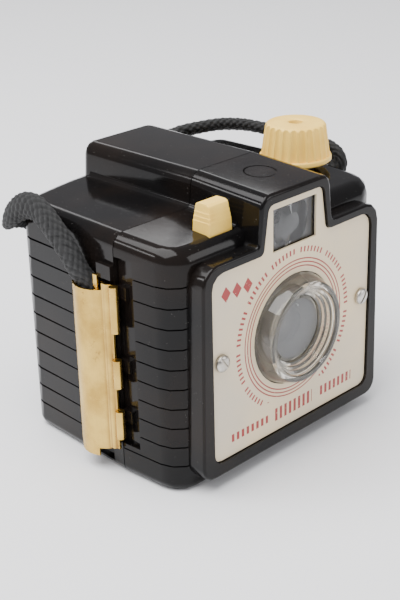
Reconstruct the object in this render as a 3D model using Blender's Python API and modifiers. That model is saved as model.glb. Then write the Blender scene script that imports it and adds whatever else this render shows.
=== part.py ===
"""Box camera for small roll film, built as separate pieces in one frame.

Two moulded shells meet on an upright parting plane. The front shell carries the face plate, the
lens, the shutter, the winding knob and the film chamber; the rear shell slides off backwards and
carries the eyepiece, the red film window, two sliding side latches and the neck strap.

Constants are in millimetres and the scene is in metres. +X is to the right seen from the front,
+Y runs from the front to the back, +Z is up. The origin is the middle of the base.
"""
import math

import bmesh
import bpy
from mathutils import Matrix, Vector

MM = 0.001
GAP = 0.3                     # clearance between pieces that touch
ARC_STEP = 30.0               # degrees between the points of a rounded corner

# Shells
HALF_WIDTH = 45.3             # at the parting plane
FRONT_HALF_WIDTH = HALF_WIDTH - 1.5     # at the front face
REAR_HALF_WIDTH = HALF_WIDTH - 2.0      # at the rear corners
SHOULDER_Z = 75.5
TOP_SLOPE = 0.055             # fall of both tops towards the front, per mm
WALL = 2.4
Y_PART = -11.5                # rear face of the front shell
Y_FACE = -33.5                # front face of the front shell
Y_REAR = 38.0                 # rear wall at its middle
REAR_RADIUS = 162.0           # of the bowed rear wall, which follows the bowed film
FRONT_CORNER_R = 8.0
REAR_CORNER_R = 5.0
SHOULDER_R = 4.2
FOOT_R = 3.0
HUMP_HALF = 15.4              # finder housing, at the shoulder
HUMP_HALF_TOP = 14.6
HUMP_REAR_Y = Y_REAR - 1.35
HUMP_Z = SHOULDER_Z + 10.2
HUMP_R = 4.0
HUMP_REAR_R = 3.0
HUMP_FILLET = 1.6
GROOVES = 10
GROOVE_TOP_Z = SHOULDER_Z - 11.3
GROOVE_PITCH = 6.15
GROOVE_H = 0.8
GROOVE_D = 0.55
REAR_GROOVE_END = REAR_HALF_WIDTH - 10.3    # half width of the plain middle of the rear wall
LIP_T = 1.2                   # lip that keys the rear shell to the front one
LIP_REACH = 1.8
LIP_HALF = 38.0
EMBLEM = (0.6, -24.2)         # middle of the plain ring on the finder housing
EMBLEM_R = (4.5, 5.0)

# Raised frame and face plate
FRAME_Y = Y_FACE - 5.3
FRAME_HALF = (FRONT_HALF_WIDTH - 5.8, FRONT_HALF_WIDTH - 4.4)   # at the shoulder, at the foot
FRAME_Z = (4.4, SHOULDER_Z - 5.7, HUMP_Z - 1.9)     # foot, shoulder, top of the tab
FRAME_TAB = (HUMP_HALF_TOP - 0.4, HUMP_HALF + 0.5)  # half width of the tab at its top, at its foot
FRAME_ROUND = 0.8
FRAME_LIP = 0.12              # the finder housing stops this far behind the frame's front
PLATE_HALF = FRAME_HALF[0] - 3.5
PLATE_Z = (FRAME_Z[0] + 4.5, FRAME_Z[1] - 2.8, FRAME_Z[2] - 2.9)
PLATE_TAB = (FRAME_TAB[0] - 2.6, FRAME_TAB[1] - 2.1)
PLATE_T = 0.6
PLATE_SUNK = 0.8              # plate below the frame's front
PLATE_Y = FRAME_Y + PLATE_SUNK
PLATE_BACK_Y = PLATE_Y + PLATE_T
FACE_SCREW = (PLATE_HALF - 3.5, 40.2)
FACE_SCREW_R = 1.2
FACE_HEAD_R = 2.6

# Optics
LENS_Z = 40.1
RING_BASE_R = 17.0
RING_FRONT_R = RING_BASE_R - 1.6
RING_PROUD = 5.3
RING_FLANGE_R = RING_BASE_R + 1.6
RING_STEPS = 4
RING_STEP_H = 1.15
WINDOW_R = 9.4
LENS_R = 6.2
APERTURE_R = 2.6
FINDER = (9.3, PLATE_Z[1] - 0.6, PLATE_Z[2] - 1.8)  # half width, bottom and top of the window
FINDER_LENS_T = 1.9
TUNNEL_HALF = FINDER[0] + 1.5
TUNNEL_FLOOR_Z = FINDER[1] - 1.2
EYE_HALF = (6.0, 4.5)
EYE_Z = HUMP_Z - 8.3
EYE_SEAT = 1.3                # wall behind the eyepiece's flange
RED_R = 5.5
RED_SEAT = WALL / 2

# Winding gear
SPOOL_R = 9.0
SPOOL_GAP = 0.4               # between the spool and the shell's wall
SPOOL_CORE_R = 4.2
SPOOL_Z = (14.1, 66.1)
SPOOL_PIN_R = 1.4
KNOB = (HALF_WIDTH - WALL - SPOOL_GAP - SPOOL_R, -9.3)     # axis
EAR_R = 6.4                   # tongue of the front shell under the knob
EAR_Z = SHOULDER_Z + 1.5
KNOB_Z = (EAR_Z + 0.9, EAR_Z + 11.4)
KNOB_R = 9.5
KNOB_TOP_R = KNOB_R - 1.2
KNOB_FLUTES = 24
SHAFT_R = 1.5

# Release button and shutter
BUTTON_X = (-26.6, -17.2)
BUTTON_Y = (Y_FACE + 3.3, Y_FACE + 10.3)
BUTTON_TOP_Z = SHOULDER_Z + 7.3
BUTTON_TRAVEL = 4.0
SHELF_Z = (SHOULDER_Z - 14.1, SHOULDER_Z - 12.5)
SPRING_POST = (sum(BUTTON_X) / 2, BUTTON_Y[1] - 2.0)
SPRING_POST_R = 1.2
LEG_HALF = 2.3                # push leg under the button
LEG_Y = (BUTTON_Y[0] + 0.4, BUTTON_Y[0] + 2.0)
MECHANISM_HALF = 26.0
SHUTTER_Y = Y_FACE + 2.2      # front face of the shutter plate
SHUTTER_T = 0.6
SHUTTER_HALF = 17.0
SHUTTER_Z = (22.0, 60.0)
STAKES = ((-13.0, 25.5), (13.0, 25.5))
STAKE_R = 1.1
LEVER_PIVOT = (-13.0, 50.0)
LEVER_PAD = (SPRING_POST[0], 55.2)
BLADE_PIVOT = (9.5, 48.5)
POST_R = 1.0

# Film chamber
CONE_Y = Y_FACE + 7.5
CONE_OUTSIDE = ((8.0, 8.0), (33.5, 22.0))   # half width and height at the front, at the gate
CONE_INSIDE = ((5.6, 5.6), (38.0, 23.8))
RAIL_Y = Y_REAR - 3.4
RAIL_RADIUS = REAR_RADIUS - 4.0
GATE_Y = RAIL_Y - 10.6
CHAMBER_HALF = HALF_WIDTH - WALL - 2.5
FILM_HALF_Z = 23.3
DECK_T = 1.6
DECK_Z = (SPOOL_Z[0] - DECK_T - 0.5, SPOOL_Z[1] + 0.5)      # undersides of the spool decks
DECK_X = 14.5                 # inner ends of the decks
DECK_Y = KNOB[1] - 9.1
FLANGE_T = 1.6
FLANGE = ((-25, 19, 3), (25, 19, 3), (25, 60.5, 3), (-17, 60.5, 3), (-17, 42, 2), (-25, 42, 3))
CHAMBER_POSTS = ((21.5, 57.0), (-21.5, 24.0))
CHAMBER_POST_R = 2.6

# Side latches
LATCH_Z = (7.4, SHOULDER_Z - 17.0)      # gutter
LATCH_TONGUE_Z = LATCH_Z[0] - 2.5       # thumb tongue under the gutter
LATCH_TRAVEL = 4.5
STRIP_Z = (LATCH_Z[0] + 1.2, LATCH_Z[1] + 2.5)      # beaded strip beside it
LATCH_T = 0.7
GUTTER_Y = (Y_PART + 4.3, Y_PART + 16.5)
GUTTER_BULGE = 3.3
LATCH_X = HALF_WIDTH + 0.6    # inner face of the strip
TABS = ((STRIP_Z[1] - 14.1, STRIP_Z[1]), (29.5, 38.4), (13.0, 22.0))
TAB_Y = Y_PART - 2.1
POCKET_X = HALF_WIDTH - WALL + 0.7      # floor of the pocket under each gutter

# Neck strap: route of its centre line
STRAP_R = 2.4
STRAP_ROUTE = (
    (-46.3, -1.2, 49.0), (-46.3, -1.2, 58.0), (-47.9, 0.8, 62.8), (-48.4, 4.2, 67.6),
    (-48.5, 8.6, 71.8), (-48.2, 13.2, 75.0), (-47.6, 18.2, 76.8), (-47.2, 23.4, 76.4),
    (-46.9, 28.0, 74.2), (-46.4, 32.2, 71.2), (-43.6, 37.2, 68.6), (-38.4, 41.0, 66.6),
    (-31.5, 43.0, 63.6), (-25.5, 44.0, 56.5), (-21.5, 44.6, 46.0), (-18.5, 45.4, 34.0),
    (-15.5, 46.8, 21.0), (-11.0, 49.5, 10.0), (-4.0, 54.5, 4.2), (6.0, 61.0, 2.5),
    (18.0, 65.0, 2.5), (29.5, 63.0, 2.5), (36.5, 56.0, 3.6), (37.5, 49.5, 9.5),
    (35.0, 46.2, 20.0), (32.0, 45.0, 33.0), (29.0, 44.4, 46.0), (26.0, 44.0, 58.0),
    (23.5, 43.2, 68.0), (23.0, 40.6, 75.5), (26.5, 36.6, 79.0), (33.5, 33.8, 79.8),
    (41.0, 30.6, 80.0), (46.8, 25.4, 79.6), (49.8, 18.8, 78.9), (52.0, 9.6, 78.0),
    (54.0, 0.0, 77.0), (55.4, -5.6, 75.6), (55.2, -9.4, 72.6), (53.4, -8.4, 69.2),
    (50.6, -4.4, 65.6), (47.7, -1.0, 63.2), (46.3, -1.1, 60.0), (46.3, -1.2, 55.0),
    (46.3, -1.2, 49.0),
)

MATERIALS = {
    "black_moulding": ((0.014, 0.012, 0.012), 0.18, 0.0),
    "black_inside": ((0.02, 0.019, 0.018), 0.55, 0.0),
    "cream_enamel": ((0.66, 0.60, 0.49), 0.35, 0.0),
    "cream_plastic": ((0.90, 0.66, 0.27), 0.38, 0.0),
    "clear_plastic": ((0.86, 0.86, 0.85), 0.05, 0.0),
    "lens_glass": ((0.80, 0.84, 0.86), 0.02, 0.0),
    "red_celluloid": ((0.45, 0.02, 0.02), 0.15, 0.0),
    "gilt_metal": ((0.63, 0.46, 0.22), 0.34, 1.0),
    "nickel": ((0.62, 0.60, 0.56), 0.25, 1.0),
    "blackened_steel": ((0.05, 0.05, 0.05), 0.45, 1.0),
    "spring_steel": ((0.42, 0.42, 0.42), 0.32, 1.0),
    "black_braid": ((0.012, 0.012, 0.012), 0.9, 0.0),
}


# ---------------------------------------------------------------- tools

def clear_scene():
    for obj in list(bpy.data.objects):
        bpy.data.objects.remove(obj, do_unlink=True)


def new_collection(name):
    collection = bpy.data.collections.new(name)
    bpy.context.scene.collection.children.link(collection)
    return collection


def link_mesh(name, bm):
    """Puts a bmesh built in millimetres into the scene as an object in metres."""
    bmesh.ops.scale(bm, vec=(MM, MM, MM), verts=bm.verts)
    bmesh.ops.recalc_face_normals(bm, faces=bm.faces)
    mesh = bpy.data.meshes.new(name)
    bm.to_mesh(mesh)
    bm.free()
    obj = bpy.data.objects.new(name, mesh)
    bpy.data.collections["cutters"].objects.link(obj)
    obj.hide_render = True
    obj.display_type = "WIRE"
    return obj


def material(key):
    found = bpy.data.materials.get(key)
    if found:
        return found
    colour, roughness, metallic = MATERIALS[key]
    made = bpy.data.materials.new(key)
    made.use_nodes = True
    shader = made.node_tree.nodes["Principled BSDF"]
    shader.inputs["Base Color"].default_value = (*colour, 1.0)
    shader.inputs["Roughness"].default_value = roughness
    shader.inputs["Metallic"].default_value = metallic
    made.diffuse_color = (*colour, 1.0)
    return made


def finish(obj, name, key, parent=None):
    """Makes a worked shape a named piece with its own material."""
    obj.name = name
    own = material(key).copy()
    own.name = f"{name}_{key}"
    obj.data.materials.clear()
    obj.data.materials.append(own)
    bpy.data.collections["cutters"].objects.unlink(obj)
    bpy.data.collections["box_camera"].objects.link(obj)
    obj.hide_render = False
    obj.display_type = "TEXTURED"
    if obj.type == "MESH":
        obj.data.shade_smooth()
        obj.data.set_sharp_from_angle(angle=math.radians(32))
    if parent:
        obj.parent = parent
        obj.matrix_parent_inverse = parent.matrix_world.inverted()
    return obj


def axis_empty(name, at):
    """An empty on a moving piece's joint axis."""
    empty = bpy.data.objects.new(name, None)
    empty.location = Vector(at) * MM
    bpy.data.collections["box_camera"].objects.link(empty)
    bpy.context.view_layer.update()
    return empty


def combine(target, tools, operation="DIFFERENCE"):
    for tool in tools if isinstance(tools, (list, tuple)) else [tools]:
        boolean = target.modifiers.new(operation.title(), "BOOLEAN")
        boolean.operation = operation
        boolean.solver = "EXACT"
        boolean.object = tool
    return target


def cut(target, tools):
    return combine(target, tools)


def join(target, tools):
    return combine(target, tools, "UNION")


def rounded(corners):
    """Outline through (u, v, radius) corners, with each corner turned on an arc."""
    points = []
    for i, (u, v, radius) in enumerate(corners):
        here = Vector((u, v))
        back = (Vector(corners[i - 1][:2]) - here).normalized()
        ahead = (Vector(corners[(i + 1) % len(corners)][:2]) - here).normalized()
        turn = math.pi - back.angle(ahead)
        if radius <= 0 or turn < 0.01:
            points.append(here)
            continue
        reach = radius * math.tan(turn / 2)
        centre = here + (back + ahead).normalized() * radius / math.cos(turn / 2)
        start, end = here + back * reach - centre, here + ahead * reach - centre
        steps = max(2, math.ceil(math.degrees(turn) / ARC_STEP - 0.01))
        sweep = start.angle_signed(end)
        for k in range(steps + 1):
            spin = Matrix.Rotation(-sweep * k / steps, 2)
            points.append(centre + spin @ start)
    return points


def inset(corners, distance):
    """The same corners moved inwards on a counter-clockwise outline, radii following."""
    moved = []
    for i, (u, v, radius) in enumerate(corners):
        here = Vector((u, v))
        into = (here - Vector(corners[i - 1][:2])).normalized()
        out = (Vector(corners[(i + 1) % len(corners)][:2]) - here).normalized()
        n_in, n_out = Vector((-into.y, into.x)), Vector((-out.y, out.x))
        shift = (n_in + n_out) * distance / (1 + n_in.dot(n_out))
        convex = into.x * out.y - into.y * out.x > 0
        grown = radius - distance if convex else radius + distance
        moved.append((u + shift.x, v + shift.y, max(0.0, grown) if radius else 0.0))
    return moved


def curve_mesh(curve):
    """The closed mesh of a curve, with its caps joined on and flat faces made whole."""
    carrier = bpy.data.objects.new("carrier", curve)
    bpy.data.collections["cutters"].objects.link(carrier)
    bpy.context.view_layer.update()
    evaluated = carrier.evaluated_get(bpy.context.evaluated_depsgraph_get())
    bm = bmesh.new()
    bm.from_mesh(bpy.data.meshes.new_from_object(evaluated))
    bmesh.ops.remove_doubles(bm, verts=bm.verts, dist=0.000002)
    bmesh.ops.scale(bm, vec=(1 / MM, 1 / MM, 1 / MM), verts=bm.verts)
    bpy.data.objects.remove(carrier)
    return bm


def prism(name, outline, low, high, plane="XZ"):
    """A flat outline in the XZ or XY plane, filled and extruded along the third axis."""
    curve = bpy.data.curves.new(name, "CURVE")
    curve.dimensions = "2D"
    curve.fill_mode = "BOTH"
    curve.extrude = (high - low) / 2 * MM
    spline = curve.splines.new("POLY")
    spline.points.add(len(outline) - 1)
    for point, (u, v) in zip(spline.points, outline):
        point.co = (u * MM, v * MM, 0, 1)
    spline.use_cyclic_u = True
    bm = curve_mesh(curve)
    bmesh.ops.dissolve_limit(bm, angle_limit=math.radians(0.2), verts=bm.verts, edges=bm.edges)
    turn = Matrix.Rotation(math.pi / 2, 4, "X") if plane == "XZ" else Matrix.Identity(4)
    middle = (low + high) / 2
    place = Matrix.Translation((0, middle, 0) if plane == "XZ" else (0, 0, middle))
    bmesh.ops.transform(bm, matrix=place @ turn, verts=bm.verts)
    return link_mesh(name, bm)


def round_edges(obj, chosen, width, segments):
    """Rounds the edges whose two ends, in millimetres, satisfy chosen(a, b)."""
    bm = bmesh.new()
    bm.from_mesh(obj.data)
    edges = [e for e in bm.edges if chosen(e.verts[0].co / MM, e.verts[1].co / MM)]
    bmesh.ops.bevel(bm, geom=edges, offset=width * MM, offset_type="OFFSET", segments=segments,
                    profile=0.5, affect="EDGES", clamp_overlap=True)
    bmesh.ops.recalc_face_normals(bm, faces=bm.faces)
    bm.to_mesh(obj.data)
    bm.free()
    return obj


def slope_tops(obj, above):
    """Tilts everything above a height down towards the front, from the parting plane on."""
    for vertex in obj.data.vertices:
        if vertex.co.z > above * MM:
            vertex.co.z += TOP_SLOPE * min(0.0, vertex.co.y - Y_PART * MM)
    return obj


def box(name, low, high):
    bm = bmesh.new()
    bmesh.ops.create_cube(bm, size=1.0)
    size = [h - l for l, h in zip(low, high)]
    bmesh.ops.scale(bm, vec=size, verts=bm.verts)
    bmesh.ops.translate(bm, vec=[(l + h) / 2 for l, h in zip(low, high)], verts=bm.verts)
    return link_mesh(name, bm)


def rod(name, radius, start, end, sides=20, end_radius=None):
    """A cylinder or cone between two points."""
    bm = bmesh.new()
    along = Vector(end) - Vector(start)
    top = radius if end_radius is None else end_radius
    bmesh.ops.create_cone(bm, cap_ends=True, segments=sides, radius1=radius, radius2=top,
                          depth=along.length)
    turn = Vector((0, 0, 1)).rotation_difference(along).to_matrix().to_4x4()
    middle = (Vector(start) + Vector(end)) / 2
    bmesh.ops.transform(bm, matrix=Matrix.Translation(middle) @ turn, verts=bm.verts)
    return link_mesh(name, bm)


def turned(name, profile, at, facing="Z", steps=48):
    """A (radius, height) profile, outer side first and downwards, turned about an upright
    axis, or about an axis that faces the front."""
    bm = bmesh.new()
    ring = [bm.verts.new((r, 0, h)) for r, h in profile]
    pairs = list(zip(ring, ring[1:]))
    if profile[0][0] > 0:
        pairs.append((ring[-1], ring[0]))
    for a, b in pairs:
        bm.edges.new((a, b))
    obj = link_mesh(name, bm)
    screw = obj.modifiers.new("Turn", "SCREW")
    screw.steps = screw.render_steps = steps
    screw.use_merge_vertices = True
    screw.merge_threshold = 0.00001
    obj.location = Vector(at) * MM
    if facing == "FRONT":
        obj.rotation_euler.x = math.pi / 2
    return obj


def wire(name, points, radius, resolution=1):
    """A round wire through points, as a closed mesh."""
    curve = bpy.data.curves.new(name, "CURVE")
    curve.dimensions = "3D"
    curve.bevel_depth = radius * MM
    curve.bevel_resolution = resolution
    curve.use_fill_caps = True
    spline = curve.splines.new("POLY")
    spline.points.add(len(points) - 1)
    for point, place in zip(spline.points, points):
        point.co = (*(Vector(place) * MM), 1.0)
    return link_mesh(name, curve_mesh(curve))


def coil(centre, radius, low, high, turns, steps=8):
    """Points of an upright coil."""
    count = turns * steps
    return [(centre[0] + radius * math.cos(2 * math.pi * k / steps),
             centre[1] + radius * math.sin(2 * math.pi * k / steps),
             low + (high - low) * k / count) for k in range(count + 1)]


def smooth_route(points, spacing):
    """Points at an even spacing along a smooth curve through the route points."""
    knots = [Vector(p) for p in points]
    ends = [2 * knots[0] - knots[1]] + knots + [2 * knots[-1] - knots[-2]]
    fine = []
    for a, b, c, d in zip(ends, ends[1:], ends[2:], ends[3:]):
        for k in range(12):
            t = k / 12
            fine.append(0.5 * (2 * b + (c - a) * t + (2 * a - 5 * b + 4 * c - d) * t * t
                               + (3 * b - a - 3 * c + d) * t ** 3))
    fine.append(knots[-1])
    lengths = [0.0]
    for a, b in zip(fine, fine[1:]):
        lengths.append(lengths[-1] + (b - a).length)
    count = round(lengths[-1] / spacing)
    even, i = [], 0
    for k in range(count + 1):
        want = lengths[-1] * k / count
        while i < len(fine) - 2 and lengths[i + 1] < want:
            i += 1
        part = (want - lengths[i]) / (lengths[i + 1] - lengths[i])
        even.append(fine[i].lerp(fine[i + 1], part))
    return even


# ---------------------------------------------------------------- outlines

def side_half_width(y):
    """Half width of the shells at a depth, with the mould's draft both ways."""
    if y < Y_PART:
        return HALF_WIDTH + (FRONT_HALF_WIDTH - HALF_WIDTH) * (Y_PART - y) / (Y_PART - Y_FACE)
    rear_corner = bowed(REAR_HALF_WIDTH, Y_REAR, REAR_RADIUS)
    return HALF_WIDTH + (REAR_HALF_WIDTH - HALF_WIDTH) * (y - Y_PART) / (rear_corner - Y_PART)


def bowed(x, middle, radius):
    """Depth of a bowed wall at a distance from its middle."""
    return middle - radius + math.sqrt(radius ** 2 - x ** 2)


def front_plan(distance=0.0, end=Y_PART):
    """Plan of the front shell, counter-clockwise from its rear right corner."""
    w = side_half_width(end)
    corners = [(w, end, 0), (-w, end, 0), (-FRONT_HALF_WIDTH, Y_FACE, FRONT_CORNER_R),
               (FRONT_HALF_WIDTH, Y_FACE, FRONT_CORNER_R)]
    return keep_end(inset(corners, distance), (0, 1), end)


def rear_plan(distance=0.0):
    """Plan of the rear shell, counter-clockwise from its front left corner."""
    start = Y_PART + GAP
    w = side_half_width(start)
    bow = [REAR_HALF_WIDTH * (1 - k / 9) * 0.86 for k in range(19)]
    corners = [(-w, start, 0), (w, start, 0),
               (REAR_HALF_WIDTH, bowed(REAR_HALF_WIDTH, Y_REAR, REAR_RADIUS), REAR_CORNER_R)]
    corners += [(x, bowed(x, Y_REAR, REAR_RADIUS), 0) for x in bow]
    corners.append((-REAR_HALF_WIDTH, corners[2][1], REAR_CORNER_R))
    return keep_end(inset(corners, distance), (0, 1), start)


def keep_end(corners, indices, y):
    """Puts an inset outline's open end back on the parting plane."""
    for i in indices:
        corners[i] = (corners[i][0], y, 0)
    return corners


def hump_section():
    """Cross-section of the finder housing, from inside the shell up, with rounded top edges."""
    lean = (HUMP_HALF - HUMP_HALF_TOP) / (HUMP_Z - SHOULDER_Z)
    depth = 8.0
    right = [(HUMP_HALF + depth * lean, SHOULDER_Z - depth, 0), (HUMP_HALF_TOP, HUMP_Z, HUMP_R)]
    left = [(-u, v, r) for u, v, r in reversed(right)]
    return rounded(right + left)


def foot_fillets(name, low_y, high_y):
    """Hollow fillets along both sides of the finder housing's foot."""
    strips = []
    for side in (-1, 1):
        u, v, r = HUMP_HALF, SHOULDER_Z, HUMP_FILLET
        arc = [(u + r - r * math.sin(a), v + r - r * math.cos(a))
               for a in [math.radians(22.5 * k) for k in range(5)]]
        outline = [(u - 1.5, v - 1.5), (u + r + 0.4, v - 1.5), (u + r + 0.4, v - 0.12)]
        outline += arc[1:-1] + [(u - 0.3, v + r + 0.4), (u - 1.5, v + r + 0.4)]
        strips.append(prism(f"{name}_{side}", [(side * p[0], p[1]) for p in outline], low_y, high_y))
    return strips


def tee(half, foot, shoulder, top, tab, radii):
    """Upright T outline, counter-clockwise from its lower left corner. half and tab are
    (upper, lower) half widths; radii are the foot, shoulder, inner and tab corners'."""
    r_foot, r_shoulder, r_inner, r_tab = radii
    right = [(half[1], foot, r_foot), (half[0], shoulder, r_shoulder), (tab[1], shoulder, r_inner),
             (tab[0], top, r_tab)]
    left = [(-u, v, r) for u, v, r in reversed(right)]
    return left[-1:] + right + left[:-1]


def plate_outline(distance=0.0):
    corners = tee((PLATE_HALF, PLATE_HALF), *PLATE_Z, PLATE_TAB, (3.0, 4.2, 2.0, 2.0))
    return rounded(inset(corners, distance))


def frame_outline():
    return rounded(tee(FRAME_HALF, *FRAME_Z, FRAME_TAB, (4.5, 6.0, 1.4, 3.4)))


# ---------------------------------------------------------------- shells

def shell_block(name, plan, low, high, r_top, r_foot, open_y):
    """A block on a plan outline with rounded top and foot edges, its open end left square."""
    obj = prism(name, rounded(plan), low, high, "XY")
    if min(v for _, v, _ in plan) < Y_FACE + WALL + 1:
        slope_tops(obj, (low + high) / 2)

    def edge_at(level, slack):
        def chosen(a, b):
            at_end = abs(a.y - open_y) < 0.01 and abs(b.y - open_y) < 0.01
            return abs(a.z - level) < slack and abs(b.z - level) < slack and not at_end
        return chosen

    if r_top:
        round_edges(obj, edge_at(high, 2.0), r_top, 3)
    if r_foot:
        round_edges(obj, edge_at(low, 0.01), r_foot, 3)
    return obj


def finder_tunnel(low_y, high_y, half, floor_z, roof_z, name):
    return box(name, (-half, low_y, floor_z), (half, high_y, roof_z))


def front_grooves():
    outer = inset(front_plan(), -1.0)
    outer = keep_end(outer, (0, 1), Y_PART + 1)
    inner = keep_end(inset(front_plan(), GROOVE_D), (0, 1), Y_PART + 1)
    ring = rounded(outer)[2:] + rounded(outer)[:1]
    core = rounded(inner)[2:] + rounded(inner)[:1]
    start, core_start = rounded(outer)[1], rounded(inner)[1]
    outline = [start] + ring + list(reversed(core)) + [core_start]
    return [prism(f"groove_{k}", outline, z - GROOVE_H / 2, z + GROOVE_H / 2, "XY")
            for k, z in enumerate(groove_levels())]


def groove_levels():
    return [GROOVE_TOP_Z - k * GROOVE_PITCH for k in range(GROOVES)]


def rear_grooves(side):
    """Grooves from behind the latch round one rear corner."""
    start_y = GUTTER_Y[1] + 1.6
    x_corner, y_corner = REAR_HALF_WIDTH, bowed(REAR_HALF_WIDTH, Y_REAR, REAR_RADIUS)
    x_end = REAR_GROOVE_END

    def path(distance):
        chain = [(side_half_width(start_y) - distance, start_y, 0),
                 (x_corner - distance, y_corner - distance, max(0.5, REAR_CORNER_R - distance)),
                 (x_end, bowed(x_end, Y_REAR, REAR_RADIUS) - distance, 0)]
        return rounded([(0, 0, 0)] + chain)[1:]

    outline = [(side * p[0], p[1]) for p in path(-1.0) + list(reversed(path(GROOVE_D)))]
    return [prism(f"rear_groove_{side}_{k}", outline, z - GROOVE_H / 2, z + GROOVE_H / 2, "XY")
            for k, z in enumerate(groove_levels())]


def front_loop(a, b):
    """Chooses the edges of the front face of the frame or of the finder housing."""
    return max(a.y, b.y) < FRAME_Y + FRAME_LIP + 0.01


def build_front_shell():
    shell = shell_block("front_block", front_plan(), 0.0, SHOULDER_Z, SHOULDER_R, FOOT_R, Y_PART)
    cut(shell, front_grooves())
    hump = [prism("front_hump", hump_section(), FRAME_Y + FRAME_LIP, Y_PART)]
    round_edges(hump[0], front_loop, FRAME_ROUND, 3)
    hump += foot_fillets("front_fillet", Y_FACE + 3.4, Y_PART)
    for piece in hump:
        slope_tops(piece, SHOULDER_Z - 5)
    frame = prism("raised_frame", frame_outline(), FRAME_Y, Y_FACE + 0.8)
    round_edges(frame, front_loop, FRAME_ROUND, 3)
    join(shell, hump + [frame])

    # hollows: film space, mechanism space behind the frame
    inner = shell_block("front_hollow", front_hollow_plan(), WALL, SHOULDER_Z - WALL, 2.0, 0.8,
                        Y_PART + 2)
    mechanism = box("mechanism_space", (-MECHANISM_HALF, PLATE_BACK_Y + GAP + 2.2, 14.0),
                    (MECHANISM_HALF, Y_FACE + 4.0, SHELF_Z[0] + 1.0))
    cut(shell, [inner, mechanism])

    # finder tunnel, its own floor and walls
    walls = finder_tunnel(PLATE_BACK_Y + 2.0, Y_PART, TUNNEL_HALF + 1.8, TUNNEL_FLOOR_Z - 1.6,
                          SHOULDER_Z - 1.7, "tunnel_walls")
    ear = rod("knob_ear", EAR_R, (*KNOB, SHOULDER_Z - WALL - 1.2), (*KNOB, EAR_Z), 28)
    shelf = box("spring_shelf", (BUTTON_X[0] - 0.6, Y_FACE + 1.2, SHELF_Z[0]),
                (BUTTON_X[1] + 1.0, BUTTON_Y[1] + 0.8, SHELF_Z[1]))
    posts = [rod(f"chamber_post_{i}", CHAMBER_POST_R, (x, PLATE_BACK_Y + 1.4, z),
                 (x, CONE_Y - GAP, z), 12) for i, (x, z) in enumerate(CHAMBER_POSTS)]
    stakes = [rod(f"shutter_stake_{i}", STAKE_R, (x, PLATE_BACK_Y + 1.4, z),
                  (x, SHUTTER_Y + SHUTTER_T + 0.4, z), 16) for i, (x, z) in enumerate(STAKES)]
    hooks = [box(f"latch_hook_{side}_{k}", *ordered(side, (POCKET_X - 0.6, LATCH_X - 0.9),
                                                    (Y_PART - 4.0, Y_PART - 0.2),
                                                    (top - LATCH_TRAVEL + 0.3, top - 0.3)))
             for side in (-1, 1) for k, (_, top) in enumerate(TABS)]
    join(shell, [walls] + shell_lips() + [ear, shelf] + posts + stakes)
    channel_x = side_half_width(Y_PART - 3.5) - 1.3
    cut(shell, [box(f"latch_channel_{side}", *ordered(side, (channel_x, LATCH_X + 4.1),
                                                      (Y_PART - 6.7, Y_PART + 0.5),
                                                      (TABS[-1][0] - 2.6, SHOULDER_Z - 6.3)))
                for side in (-1, 1)])
    join(shell, hooks)
    cut(shell, front_openings())
    return finish(shell, "front_shell", "black_moulding")


def shell_lips():
    """Lips inside the shoulder and the base that reach into the rear shell, each with its root."""
    inner_half = HUMP_HALF - 0.2
    runs = ((-LIP_HALF, -inner_half, SHOULDER_Z - WALL - 0.4, 1),
            (inner_half, KNOB[0] - 8.5, SHOULDER_Z - WALL - 0.4, 1),
            (-LIP_HALF, LIP_HALF, WALL + 0.4, -1))
    lips = []
    for k, (x0, x1, face, up) in enumerate(runs):
        tip = sorted((face, face - up * LIP_T))
        root = sorted((face + up, face - up * LIP_T))
        lips += [box(f"lip_{k}", (x0, Y_PART - 3, tip[0]), (x1, Y_PART + LIP_REACH, tip[1])),
                 box(f"lip_root_{k}", (x0, Y_PART - 3, root[0]), (x1, Y_PART, root[1]))]
    return lips


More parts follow.
